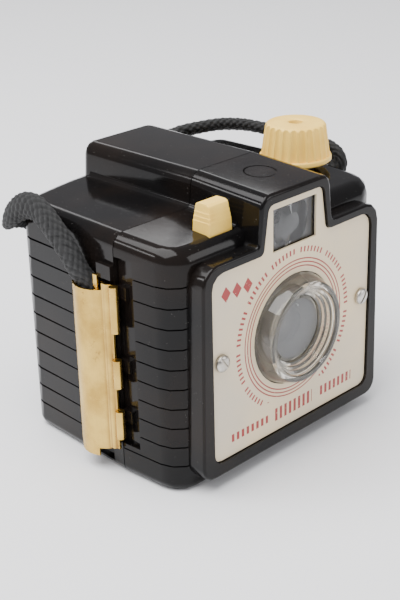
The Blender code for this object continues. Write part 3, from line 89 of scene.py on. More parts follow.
def edit_all(obj: Piece) -> None:
    """Opens one object in edit mode with all of its mesh selected.

    Args:
        obj: The object.
    """
    only(obj)
    bpy.ops.object.mode_set(mode="EDIT")
    bpy.ops.mesh.select_all(action="SELECT")


def pick(obj: Piece, kind: str,
         wanted: Callable[[bmesh.types.BMVert | bmesh.types.BMEdge], bool]) -> None:
    """Selects some corners or edges and nothing else, in edit mode.

    Args:
        obj: The piece, already in edit mode.
        kind: VERT or EDGE.
        wanted: Tells whether a corner or an edge is selected.
    """
    bpy.ops.mesh.select_mode(type=kind)
    bpy.ops.mesh.select_all(action="DESELECT")
    mesh = bmesh.from_edit_mesh(obj.data)
    for element in mesh.verts if kind == "VERT" else mesh.edges:
        element.select_set(wanted(element))
    bmesh.update_edit_mesh(obj.data)


def settle(obj: Piece, name: str) -> Piece:
    """Names a new piece and writes its place into its mesh.

    Args:
        obj: The piece.
        name: The name it gets.

    Returns:
        The same piece.
    """
    only(obj)
    bpy.ops.object.transform_apply(location=True, rotation=True, scale=True)
    obj.name = name
    obj.data.name = name
    return obj


def cylinder(name: str, radius: float, start: Triple, end: Triple, sides: int = 64,
             end_radius: float | None = None) -> Piece:
    """Adds a cylinder or a cone between two points, in millimetres.

    Args:
        name: The object's name.
        radius: Radius at the start.
        start: Middle of the first end.
        end: Middle of the second end.
        sides: Number of sides.
        end_radius: Radius at the second end, if it differs.

    Returns:
        The cylinder.
    """
    along = (Vector(end) - Vector(start)) * MM
    last = radius if end_radius is None else end_radius
    bpy.ops.mesh.primitive_cone_add(vertices=sides, radius1=radius * MM, radius2=last * MM,
                                    depth=along.length,
                                    location=(Vector(start) + Vector(end)) / 2 * MM)
    made = bpy.context.object
    made.rotation_mode = "QUATERNION"
    made.rotation_quaternion = Vector((0, 0, 1)).rotation_difference(along)
    return settle(made, name)


def apply_modifier(obj: Piece, kind: str, **values: object) -> Piece:
    """Adds a modifier, sets its values and applies it at once.

    Args:
        obj: The piece.
        kind: The modifier's type.
        values: Its settings.

    Returns:
        The same piece.
    """
    modifier = obj.modifiers.new(kind.title(), kind)
    for key, value in values.items():
        setattr(modifier, key, value)
    only(obj)
    bpy.ops.object.modifier_apply(modifier=modifier.name)
    return obj


def combine(target: Piece, tools: Sequence[Piece],
            operation: str = "DIFFERENCE") -> Piece:
    """Cuts or joins tools into a piece one after another and removes them.

    Args:
        target: The piece that is worked.
        tools: The shapes that cut it or are joined to it.
        operation: DIFFERENCE, UNION or INTERSECT.

    Returns:
        The worked piece.
    """
    for tool in tools:
        apply_modifier(target, "BOOLEAN", operation=operation, solver="EXACT", object=tool)
        bpy.data.objects.remove(tool)
    return target


def spin_profile(name: str, profile: Sequence[tuple[float, float]], centre: Triple,
                 facing: str = "Z", steps: int = 96) -> Piece:
    """Turns a (radius, height) profile into a solid by spinning it in edit mode.

    Args:
        name: The object's name.
        profile: Points in millimetres, closed onto itself or onto the axis.
        centre: The point on the axis that heights start from.
        facing: "Z" for an upright axis, "FRONT" for one that points to the front.
        steps: Faces round the turn.

    Returns:
        The turned solid, with merged poles and its faces outwards.
    """
    bpy.ops.mesh.primitive_plane_add(size=0.001, location=(0, 0, 0))
    obj = bpy.context.object
    mesh = bmesh.new()
    ring = [mesh.verts.new((r * MM, 0, h * MM)) for r, h in profile]
    pairs = list(zip(ring, ring[1:]))
    if profile[0][0] > 0 or profile[-1][0] > 0:
        pairs.append((ring[-1], ring[0]))
    for a, b in pairs:
        mesh.edges.new((a, b))
    mesh.to_mesh(obj.data)
    mesh.free()
    edit_all(obj)
    bpy.ops.mesh.spin(steps=steps, angle=TURN, center=(0, 0, 0), axis=(0, 0, 1))
    bpy.ops.mesh.select_all(action="SELECT")
    bpy.ops.mesh.remove_doubles(threshold=POLE_MERGE)
    bpy.ops.mesh.normals_make_consistent(inside=False)
    bpy.ops.object.mode_set(mode="OBJECT")
    obj.location = Vector(centre) * MM
    if facing == "FRONT":
        obj.rotation_euler.x = math.pi / 2
    return settle(obj, name)


def finish_surface(obj: Piece, bevel: float = 0.0, angle: float = 30.0,
                   steps: int = 2) -> Piece:
    """Breaks sharp edges slightly and shades the piece smooth.

    Args:
        obj: The piece.
        bevel: Width of the broken edge in millimetres, or 0 for none.
        angle: Edges sharper than this, in degrees, count as sharp.
        steps: Faces across the broken edge.

    Returns:
        The same piece.
    """
    if bevel:
        apply_modifier(obj, "BEVEL", width=bevel * MM, segments=steps, limit_method="ANGLE",
                       angle_limit=math.radians(angle), use_clamp_overlap=True,
                       harden_normals=False, miter_outer="MITER_ARC")
    only(obj)
    bpy.ops.object.shade_smooth_by_angle(angle=math.radians(angle))
    apply_modifier(obj, "WEIGHTED_NORMAL", keep_sharp=True, weight=NORMAL_WEIGHT)
    return obj


def refined_copy(node: str, name: str, bevel: float, angle: float = 28.0, steps: int = 2,
                 reshape: Callable[[Piece], None] | None = None) -> Piece:
    """A finer version of a CAD node: merged, its flat faces made whole, its edges broken.

    Args:
        node: The CAD node's name.
        name: The new piece's name.
        bevel: Width of the broken edges in millimetres, or 0 for none.
        angle: Edges sharper than this, in degrees, are broken.
        steps: Faces across a broken edge.
        reshape: Work done on the whole faces before their edges are broken.

    Returns:
        The new piece, which stands for the node.
    """
    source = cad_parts[node]
    piece = bpy.data.objects.new(name, source.data.copy())
    bpy.context.scene.collection.objects.link(piece)
    edit_all(piece)
    bpy.ops.mesh.remove_doubles(threshold=CAD_MERGE)
    bpy.ops.mesh.dissolve_limited(angle_limit=FLAT_ANGLE)
    bpy.ops.mesh.customdata_custom_splitnormals_clear()
    bpy.ops.object.mode_set(mode="OBJECT")
    if reshape:
        reshape(piece)
    finish_surface(piece, bevel, angle, steps)
    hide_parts(node)
    return piece


# ---- materials

@dataclass
class NodeSheet:
    """A node tree with short ways to add and join nodes."""

    tree: bpy.types.NodeTree

    def feed(self, node: Node, key: str | int, value: object) -> None:
        """Sets a node's input to a constant, or joins an output to it.

        Args:
            node: The node.
            key: The input's name or index.
            value: A constant or an output.
        """
        if isinstance(value, Socket):
            self.tree.links.new(value, node.inputs[key])
        else:
            node.inputs[key].default_value = value

    def shade(self, key: str, value: object) -> None:
        """Sets or drives an input of the material's Principled BSDF."""
        self.feed(self.tree.nodes["Principled BSDF"], key, value)

    def add(self, kind: str, inputs: dict | None = None, **settings: object) -> Node:
        """Adds a node.

        Args:
            kind: The node's type name without "ShaderNode".
            inputs: Values or sockets for its inputs, by name or index.
            settings: Properties of the node itself.

        Returns:
            The node.
        """
        node = self.tree.nodes.new("ShaderNode" + kind)
        for key, value in settings.items():
            setattr(node, key, value)
        for key, value in (inputs or {}).items():
            self.feed(node, key, value)
        return node

    def coords(self) -> Socket:
        """Object coordinates, in metres."""
        return self.add("TexCoord").outputs["Object"]

    def noise(self, place: Socket, scale: object = 1.0, detail: float = 2.0,
              roughness: float = 0.5, stretch: Triple | None = None,
              turn: Triple = (0.0, 0.0, 0.0)) -> Socket:
        """Adds a noise texture.

        Args:
            place: Its coordinates.
            scale: Its scale, as a value or a socket.
            detail: Its octaves.
            roughness: How much the fine octaves count.
            stretch: Scales along the axes, laid over the coordinates first, if any.
            turn: The turn that goes with the stretch.

        Returns:
            Its grey value.
        """
        if stretch:
            place = self.add("Mapping", {"Vector": place, "Rotation": turn,
                                         "Scale": stretch}).outputs[0]
        node = self.add("TexNoise", {"Vector": place, "Scale": scale, "Detail": detail,
                                     "Roughness": roughness})
        return node.outputs["Fac"]

    def maths(self, operation: str, *values: object) -> Socket:
        """Adds a Math node and returns its result."""
        node = self.add("Math", dict(enumerate(values)), operation=operation)
        return node.outputs[0]

    def ramp(self, value: Socket, stops: Sequence[tuple[float, tuple]]) -> Socket:
        """Adds a colour ramp.

        Args:
            value: What runs along the ramp.
            stops: Positions and RGBA colours.

        Returns:
            The ramp's colour.
        """
        node = self.add("ValToRGB", {0: value})
        elements = node.color_ramp.elements
        while len(elements) < len(stops):
            elements.new(0.5)
        for element, (position, colour) in zip(elements, stops):
            element.position = position
            element.color = colour
        return node.outputs[0]

    def times(self, *factors: object) -> Socket:
        """Multiplies values and returns the product.

        Args:
            factors: Constants or outputs.

        Returns:
            The product.
        """
        product, *rest = factors
        for factor in rest:
            product = self.maths("MULTIPLY", product, factor)
        return product

    def emboss(self, height: Socket, strength: float, depth: float) -> None:
        """Turns a height into the shader's normal, for a depth in metres."""
        bump = self.add("Bump", {"Strength": strength, "Distance": depth, "Height": height})
        self.shade("Normal", bump.outputs[0])

    def blend(self, amount: object, first: object, second: object) -> Socket:
        """Mixes two colours and returns the result."""
        node = self.add("Mix", {0: amount, 6: first, 7: second}, data_type="RGBA")
        return node.outputs[2]


def rgba(colour: Triple) -> tuple[float, float, float, float]:
    """The colour with full alpha."""
    return (*colour, 1.0)


def shared_group(name: str, inputs: dict[str, float], outputs: Sequence[str],
                 fill: Callable[[NodeSheet, Node], Sequence[Socket]]) -> bpy.types.NodeTree:
    """Makes a shader node group once.

    Args:
        name: The group's name.
        inputs: Its float inputs and their defaults.
        outputs: Its float outputs.
        fill: Builds the inside and gives the outputs, from the sheet and the input node.

    Returns:
        The group.
    """
    if name in bpy.data.node_groups:
        return bpy.data.node_groups[name]
    tree = bpy.data.node_groups.new(name, "ShaderNodeTree")
    for label, value in inputs.items():
        socket = tree.interface.new_socket(name=label, in_out="INPUT",
                                           socket_type="NodeSocketFloat")
        socket.default_value = value
    for label in outputs:
        tree.interface.new_socket(name=label, in_out="OUTPUT", socket_type="NodeSocketFloat")
    sheet = NodeSheet(tree)
    results = fill(sheet, tree.nodes.new("NodeGroupInput"))
    out = tree.nodes.new("NodeGroupOutput")
    for label, result in zip(outputs, results):
        sheet.feed(out, label, result)
    return tree


def handling_marks() -> bpy.types.NodeTree:
    """Smudges and hairline scratches: a roughness mask and a height.

    Returns:
        The group.
    """

    def fill(sheet: NodeSheet, given: Node) -> Sequence[Socket]:
        """Builds large smudges and thin scratches in two directions.

        Args:
            sheet: The group's nodes.
            given: Its input node.

        Returns:
            The mask and the height.
        """
        place = sheet.coords()
        smudge = sheet.noise(place, given.outputs["Smudge scale"], 5.0, 0.62)
        soft = sheet.maths("MAXIMUM", sheet.maths("SUBTRACT", smudge, 0.42), 0.0)
        total: object = 0.0
        for turn, stretch in (((0.3, 0.5, 0.2), (9000.0, 90.0, 1300.0)),
                              ((1.1, 0.2, 1.9), (1500.0, 8000.0, 100.0))):
            lines = sheet.noise(place, 1.0, 1.0, stretch=stretch, turn=turn)
            total = sheet.maths("ADD", total, sheet.maths("GREATER_THAN", lines, 0.735))
        where = sheet.maths("GREATER_THAN", sheet.noise(place, 60.0), 0.5)
        scratch = sheet.times(total, where, given.outputs["Scratches"])
        mask = sheet.maths("ADD", sheet.times(soft, 2.2), scratch)
        return mask, sheet.times(scratch, -1.0)

    return shared_group("handling_marks", {"Smudge scale": 70.0, "Scratches": 0.5},
                        ("Mask", "Height"), fill)


def moulding_skin() -> bpy.types.NodeTree:
    """The faint unevenness that moulded plastic and thin plating show in reflections.

    Returns:
        The group.
    """

    def fill(sheet: NodeSheet, given: Node) -> Sequence[Socket]:
        """Adds a broad wave and a fine grain.

        Args:
            sheet: The group's nodes.
            given: Its input node.

        Returns:
            The height.
        """
        place = sheet.coords()
        broad = sheet.noise(place, given.outputs["Wave scale"])
        fine = sheet.noise(place, given.outputs["Grain scale"], 3.0)
        return (sheet.maths("ADD", broad, sheet.times(fine, given.outputs["Grain"])),)

    scales = {"Wave scale": 90.0, "Grain scale": 2600.0, "Grain": 0.12}
    return shared_group("moulding_skin", scales, ("Height",), fill)


def dust_specks() -> bpy.types.NodeTree:
    """Sparse pale specks of dust, as a mask.

    Returns:
        The group.
    """

    def fill(sheet: NodeSheet, given: Node) -> Sequence[Socket]:
        """Keeps a spot in the middle of some cells of a Voronoi pattern.

        Args:
            sheet: The group's nodes.
            given: Its input node.

        Returns:
            The mask.
        """
        place = sheet.coords()
        cells = sheet.add("TexVoronoi", {"Vector": place, "Scale": given.outputs["Scale"]})
        near = sheet.maths("LESS_THAN", cells.outputs["Distance"], given.outputs["Size"])
        some = sheet.maths("GREATER_THAN", sheet.noise(place, 320.0), 0.56)
        return (sheet.times(near, some),)

    return shared_group("dust_specks", {"Scale": 900.0, "Size": 0.09}, ("Mask",), fill)


@dataclass(frozen=True)
class Finish:
    """A plain surface finish; the others build on it."""

    label: str
    colour: Triple
    roughness: float
    metallic: float = 0.0
    smudges: float = 0.12
    scratches: float = 0.5
    wave: float = 0.02
    specular: float = 0.5

    def material(self) -> bpy.types.Material:
        """Builds the material once.

        Returns:
            The material, made the first time and found again after that.
        """
        # The ending keeps the name apart from the materials that come with the CAD.
        name = f"{self.label}_finish"
        if name in bpy.data.materials:
            return bpy.data.materials[name]
        made = bpy.data.materials.new(name)
        made.use_nodes = True
        sheet = NodeSheet(made.node_tree)
        sheet.shade("Base Color", rgba(self.colour))
        sheet.shade("Metallic", self.metallic)
        sheet.shade("Specular IOR Level", self.specular)
        self.dress(sheet)
        return made

    def dress(self, sheet: NodeSheet) -> None:
        """Adds smudges, scratches and a slightly uneven skin."""
        self.wear(sheet)

    def wear(self, sheet: NodeSheet) -> None:
        """Drives the material's roughness and normal by handling marks.

        Args:
            sheet: The material's nodes.
        """
        marks = sheet.add("Group", {"Scratches": self.scratches}, node_tree=handling_marks())
        rough = sheet.maths("MULTIPLY_ADD", marks.outputs["Mask"], self.smudges, self.roughness)
        sheet.shade("Roughness", rough)
        skin = sheet.add("Group", node_tree=moulding_skin())
        height = sheet.maths("MULTIPLY_ADD", marks.outputs["Height"], 0.25, skin.outputs["Height"])
        sheet.emboss(height, self.wave, 0.0006)

    @staticmethod
    def speckled(sheet: NodeSheet, base: Socket, speck: Triple, share: float,
                 **values: float) -> Socket:
        """Lays specks over a colour.

        Args:
            sheet: The material's nodes.
            base: The colour under them.
            speck: Their own colour.
            share: How much they cover it.
            values: Inputs of the speck group.

        Returns:
            The speckled colour.
        """
        specks = sheet.add("Group", values, node_tree=dust_specks())
        return sheet.blend(sheet.times(specks.outputs["Mask"], share), base, rgba(speck))


@dataclass(frozen=True)
class GlossMoulding(Finish):
    """Polished black moulding with faint brown depth, dust and hairlines."""

    dust: Triple = (0.20, 0.19, 0.18)
    depth: Triple = (0.012, 0.008, 0.006)

    def dress(self, sheet: NodeSheet) -> None:
        """Adds brownish clouding and dust to the worn base.

        Args:
            sheet: The material's nodes.
        """
        self.wear(sheet)
        cloud = sheet.noise(sheet.coords(), 38.0, 4.0)
        tint = sheet.ramp(cloud, ((0.45, rgba(self.colour)), (0.80, rgba(self.depth))))
        sheet.shade("Base Color", self.speckled(sheet, tint, self.dust, 0.5))


@dataclass(frozen=True)
class AgedCream(Finish):
    """Yellowed cream plastic, mottled, with specks of dirt."""

    dirt: Triple = (0.42, 0.24, 0.07)
    pale: float = 1.05
    deep: Triple = (0.95, 0.88, 0.74)

    def dress(self, sheet: NodeSheet) -> None:
        """Mottles the colour and adds specks of dirt.

        Args:
            sheet: The material's nodes.
        """
        self.wear(sheet)
        cloud = sheet.noise(sheet.coords(), 150.0, 5.0)
        light = tuple(min(1.0, c * self.pale) for c in self.colour)
        dark = tuple(c * k for c, k in zip(self.colour, self.deep))
        tint = sheet.ramp(cloud, ((0.35, rgba(light)), (0.72, rgba(dark))))
        specked = self.speckled(sheet, tint, self.dirt, 0.55, Scale=1400.0)
        sheet.shade("Base Color", specked)


@dataclass(frozen=True)
class WornPlating(Finish):
    """Thin plating on sheet metal: draw lines, brown corrosion spots, painted darker reflections
    and painted shade at the folds.
    """

    # Colour of the corrosion spots and of the painted shade along the folds.
    tarnish_and_shade: Triple = (0.10, 0.045, 0.02)
    # Tint of the broad darker patches, a painted reflection of dark surroundings.
    dim_reflection_tint: Triple = (0.52, 0.46, 0.36)
    spots: float = 0.62
    lines: float = 0.25
    # How strongly the painted darker reflections cover the metal.
    dim_reflection_share: float = 0.75
    folds: tuple[tuple[float, float], ...] = ()

    def painted_fold_shade(self, sheet: NodeSheet, place: Socket) -> object:
        """Painted shade in brown streaks along the folds, where their creases would lie in shadow,
        darker towards the bottom.

        Args:
            sheet: The material's nodes.
            place: Object coordinates.

        Returns:
            A mask, or 0 where the metal has no folds.
        """
        if not self.folds:
            return 0.0
        split = sheet.add("SeparateXYZ", {0: place})
        y, z = (sheet.times(split.outputs[axis], 1 / MM) for axis in (1, 2))
        streak = sheet.noise(place, 1.0, 5.0, stretch=(700.0, 700.0, 70.0))
        total: object = 0.0
        for fold, half in self.folds:
            away = sheet.maths("ABSOLUTE", sheet.maths("SUBTRACT", y, fold))
            near = sheet.maths("SUBTRACT", 1.0, sheet.maths("DIVIDE", away, half))
            total = sheet.maths("MAXIMUM", total, near)
        # The painted shade is darker towards the bottom.
        low = sheet.maths("MULTIPLY_ADD", z, -0.012, 1.05)
        amount = sheet.times(total, low, sheet.times(streak, 1.7))
        return sheet.add("Clamp", {0: amount, 2: 0.85}).outputs[0]

    def dress(self, sheet: NodeSheet) -> None:
        """Adds upright draw lines, broad darker patches of painted reflection, tarnish spots and
        painted shade along the folds.

        Args:
            sheet: The material's nodes.
        """
        place = sheet.coords()
        line = sheet.noise(place, 1.0, 3.0, stretch=(2600.0, 2600.0, 60.0))
        rusty = sheet.noise(place, 130.0, 6.0, 0.7)
        spot = sheet.ramp(rusty, ((self.spots, rgba(BLACK)), (self.spots + 0.09, rgba(WHITE))))
        # Painted reflection: broad darker patches stand in for the dark surroundings that the
        # metal mirrors.
        dull = sheet.noise(place, 85.0, 7.0, 0.6)
        dim_reflection = sheet.ramp(dull, ((0.38, rgba(BLACK)), (0.66, rgba(WHITE))))
        shaded = tuple(c * 0.86 for c in self.colour)
        dimmed_colour = tuple(c * k for c, k in zip(self.colour, self.dim_reflection_tint))
        colour = sheet.blend(line, rgba(self.colour), rgba(shaded))
        colour = sheet.blend(sheet.times(dim_reflection, self.dim_reflection_share), colour, rgba(dimmed_colour))
        colour = sheet.blend(spot, colour, rgba(self.tarnish_and_shade))
        # Painted shade: the creases along the folds are darkened with the tarnish colour.
        colour = sheet.blend(self.painted_fold_shade(sheet, place), colour, rgba(self.tarnish_and_shade))
        sheet.shade("Base Color", colour)
        cloud = sheet.noise(place, 70.0, 4.0)
        rough = sheet.maths("MULTIPLY_ADD", cloud, self.smudges, self.roughness)
        sheet.shade("Roughness", sheet.maths("MULTIPLY_ADD", spot, 0.3, rough))
        sheet.emboss(sheet.maths("MULTIPLY_ADD", line, self.lines, cloud), self.wave, 0.0005)


@dataclass(frozen=True)
class Clear(Finish):
    """Clear plastic, glass or celluloid."""

    ior: float = 1.49
    transmission: float = 1.0

    def dress(self, sheet: NodeSheet) -> None:
        """Makes the base see-through, with marks on its surface.

        Args:
            sheet: The material's nodes.
        """
        self.wear(sheet)
        sheet.shade("IOR", self.ior)
        sheet.shade("Transmission Weight", self.transmission)


@dataclass(frozen=True)
class Braid(Finish):
    """Braided yarn with a fuzzy sheen and painted light and shade: strand tops lighter, gaps
    between strands darker.
    """

    # The lighter colour painted on the strands' tops; the darker base colour is the painted shade
    # between them.
    yarn: Triple = (0.012, 0.012, 0.0125)
    sheen: float = 0.05

    def dress(self, sheet: NodeSheet) -> None:
        """Reads the strap's weave height attribute, which drives the painted light and shade of
        the strands, and its UV map.

        Args:
            sheet: The material's nodes.
        """
        weave_shade = sheet.add("Attribute", attribute_name="strand")
        lifted = sheet.maths("POWER", weave_shade.outputs["Fac"], 2.2)
        uv = sheet.add("UVMap", uv_map="braid").outputs[0]
        fibre = sheet.noise(uv, 1.0, 4.0, stretch=(26.0, 26.0, 1.0))
        tone = sheet.times(lifted, sheet.maths("ADD", fibre, 0.35))
        # Painted shade between the strands and painted light on their tops, from the weave height.
        sheet.shade("Base Color", sheet.blend(tone, rgba(self.colour), rgba(self.yarn)))
        sheet.shade("Roughness", self.roughness)
        sheet.shade("Sheen Weight", self.sheen)
        sheet.shade("Sheen Roughness", 0.5)
        sheet.emboss(fibre, 0.5, 0.0002)


@dataclass(frozen=True)
class PrintedEnamel(Finish):
    """Cream enamel on the face plate with its red print and brown age spots."""

    ink: Triple = (0.30, 0.0, 0.004)
    aged: Triple = (0.60, 0.53, 0.41)
    rust: Triple = (0.22, 0.13, 0.06)
    circles: tuple[float, ...] = (19.0, 20.1, 21.2)
    circle_half: float = 0.2
    ticks: int = 96
    tick_groups: int = 12
    tick_r: float = 24.0
    tick_half: float = 0.85
    ticks_above: float = -20.5
    bar_groups: tuple[Triple, ...] = ((-19.5, 8.0, 1.25), (0.0, 8.6, 2.1), (19.5, 8.0, 1.6))
    bar_z: float = 14.3
    bars_per_mm: float = 0.48
    lozenge_x: Triple = (-28.6, -24.2, -19.8)
    lozenge_z: float = 60.0
    lozenge_half: float = 1.9

    def dress(self, sheet: NodeSheet) -> None:
        """Draws circles, ticks, bars and lozenges, and ages the paint.

        Args:
            sheet: The material's nodes.
        """
        self.wear(sheet)
        coords = sheet.coords()
        split = sheet.add("SeparateXYZ", {0: coords})
        x, z = (sheet.times(split.outputs[axis], 1 / MM) for axis in (0, 2))
        ink = self.lens_marks(sheet, x, sheet.maths("SUBTRACT", z, LENS_Z))
        ink = sheet.maths("MAXIMUM", ink, self.bar_border(sheet, x, z))
        ink = sheet.maths("MAXIMUM", ink, self.lozenges(sheet, x, z))
        worn = sheet.maths("GREATER_THAN", sheet.noise(coords, 2200.0), 0.28)
        ink = sheet.times(ink, worn, 0.97)
        cloud = sheet.noise(coords, 42.0, 6.0)
        base = sheet.ramp(cloud, ((0.35, rgba(self.colour)), (0.75, rgba(self.aged))))
        spotted = self.speckled(sheet, base, self.rust, 0.45, Scale=700.0, Size=0.075)
        sheet.shade("Base Color", sheet.blend(ink, spotted, rgba(self.ink)))

    def lens_marks(self, sheet: NodeSheet, x: Socket, z: Socket) -> Socket:
        """The circles round the lens and the ring of ticks outside them.

        Args:
            sheet: The material's nodes.
            x: Distance to the right, in millimetres.
            z: Height above the lens axis, in millimetres.

        Returns:
            The mask of the print.
        """
        radius = sheet.maths("SQRT", sheet.maths("MULTIPLY_ADD", x, x, sheet.times(z, z)))
        total: object = 0.0
        for circle in self.circles:
            line = sheet.maths("COMPARE", radius, circle, self.circle_half)
            total = sheet.maths("MAXIMUM", total, line)
        angle = sheet.maths("ARCTAN2", z, x)
        tick, group = (sheet.maths("FRACT", sheet.times(angle, count / TURN))
                       for count in (self.ticks, self.tick_groups))
        dash = sheet.times(sheet.maths("LESS_THAN", tick, 0.42),
                           sheet.maths("LESS_THAN", group, 0.86))
        band = sheet.times(sheet.maths("COMPARE", radius, self.tick_r, self.tick_half),
                           sheet.maths("GREATER_THAN", z, self.ticks_above))
        return sheet.maths("MAXIMUM", total, sheet.times(dash, band))

    def bar_border(self, sheet: NodeSheet, x: Socket, z: Socket) -> Socket:
        """Three groups of upright bars along the foot of the plate, the middle one tallest.

        Args:
            sheet: The material's nodes.
            x: Distance to the right, in millimetres.
            z: Height, in millimetres.

        Returns:
            The mask of the print.
        """
        total: object = 0.0
        for centre, half, tall in self.bar_groups:
            run = sheet.maths("COMPARE", x, centre, half)
            height = sheet.maths("COMPARE", z, self.bar_z, tall)
            stripe = sheet.maths("FRACT", sheet.times(x, self.bars_per_mm))
            bars = sheet.times(run, height, sheet.maths("LESS_THAN", stripe, 0.52))
            total = sheet.maths("MAXIMUM", total, bars)
        return total

    def lozenges(self, sheet: NodeSheet, x: Socket, z: Socket) -> Socket:
        """A row of three lozenges near the plate's upper left corner.

        Args:
            sheet: The material's nodes.
            x: Distance to the right, in millimetres.
            z: Height, in millimetres.

        Returns:
            The mask of the print.
        """
        total: object = 0.0
        for centre in self.lozenge_x:
            across = sheet.maths("ABSOLUTE", sheet.maths("SUBTRACT", x, centre))
            up = sheet.maths("ABSOLUTE", sheet.maths("SUBTRACT", z, self.lozenge_z))
            reach = sheet.maths("MULTIPLY_ADD", up, 0.8, across)
            total = sheet.maths("MAXIMUM", total,
                                sheet.maths("LESS_THAN", reach, self.lozenge_half))
        return total


class Finishes(Enum):
    """The finishes on this camera."""

    BLACK = GlossMoulding("gloss_black_moulding", (0.0042, 0.0039, 0.0040), 0.10, smudges=0.09,
                          wave=0.035, specular=0.19)
    INSIDE = Finish("dull_black_moulding", (0.018, 0.017, 0.016), 0.5, wave=0.1)
    PLATE = PrintedEnamel("printed_cream_enamel", (0.74, 0.60, 0.39), 0.3, smudges=0.15,
                          wave=0.05)
    CREAM = AgedCream("aged_cream_plastic", (0.93, 0.62, 0.13), 0.34, smudges=0.14, wave=0.05,
                      specular=0.3)
    # The faint cream milkiness is painted light: it stands in for the lit cream plate seen through
    # the ring.
    ACRYLIC = Clear("clear_acrylic", (0.95, 0.91, 0.82), 0.03, smudges=0.05, wave=0.03,
                    transmission=0.95)
    HAZY = Clear("hazed_acrylic", (0.46, 0.47, 0.48), 0.12, smudges=0.3, transmission=0.84)
    GLASS = Clear("clean_lens_glass", (0.97, 0.99, 1.0), 0.01, smudges=0.02, ior=1.52)
    RED = Clear("dark_red_celluloid", (0.55, 0.01, 0.01), 0.08, ior=1.5)
    GILT = WornPlating("worn_gilt", (0.78, 0.52, 0.135), 0.16, metallic=1.0, smudges=0.22,
                       wave=0.3, tarnish_and_shade=(0.26, 0.13, 0.04),
                       folds=((-7.5, 0.75), (-10.3, 0.5), (5.0, 0.9), (-8.9, 0.25)))
    NICKEL = WornPlating("dull_nickel", (0.64, 0.62, 0.58), 0.2, metallic=1.0, smudges=0.2,
                         wave=0.15, spots=0.66)
    BLACK_STEEL = WornPlating("oiled_black_steel", (0.06, 0.06, 0.06), 0.4, metallic=1.0,
                              wave=0.2, tarnish_and_shade=(0.12, 0.06, 0.03))
    SPRING = WornPlating("bright_spring_steel", (0.44, 0.44, 0.43), 0.28, metallic=1.0, spots=0.7)
    YARN = Braid("charcoal_braid", (0.0015, 0.0015, 0.0016), 0.75)


def dress(obj: Piece, finish: Finishes) -> Piece:
    """Gives a piece one finish all over.

    Args:
        obj: The piece.
        finish: Its finish.

    Returns:
        The same piece.
    """
    obj.data.materials.clear()
    obj.data.materials.append(finish.value.material())
    return obj


def dress_nodes(finish: Finishes, *nodes: str) -> None:
    """Gives CAD nodes that are kept as they are their finish.

    Args:
        finish: The finish.
        nodes: The nodes' names.
    """
    for node in nodes:
        dress(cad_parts[node], finish)


def place_piece(obj: Piece, body: str) -> Piece:
    """Makes a piece ride on a CAD body and logs which body carries it.

    Args:
        obj: The finished piece.
        body: The CAD body that carries it.

    Returns:
        The same piece.
    """
    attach(obj, body)
    log.info("%s rides on %s", obj.name, body)
    return obj


# ---- the camera's pieces

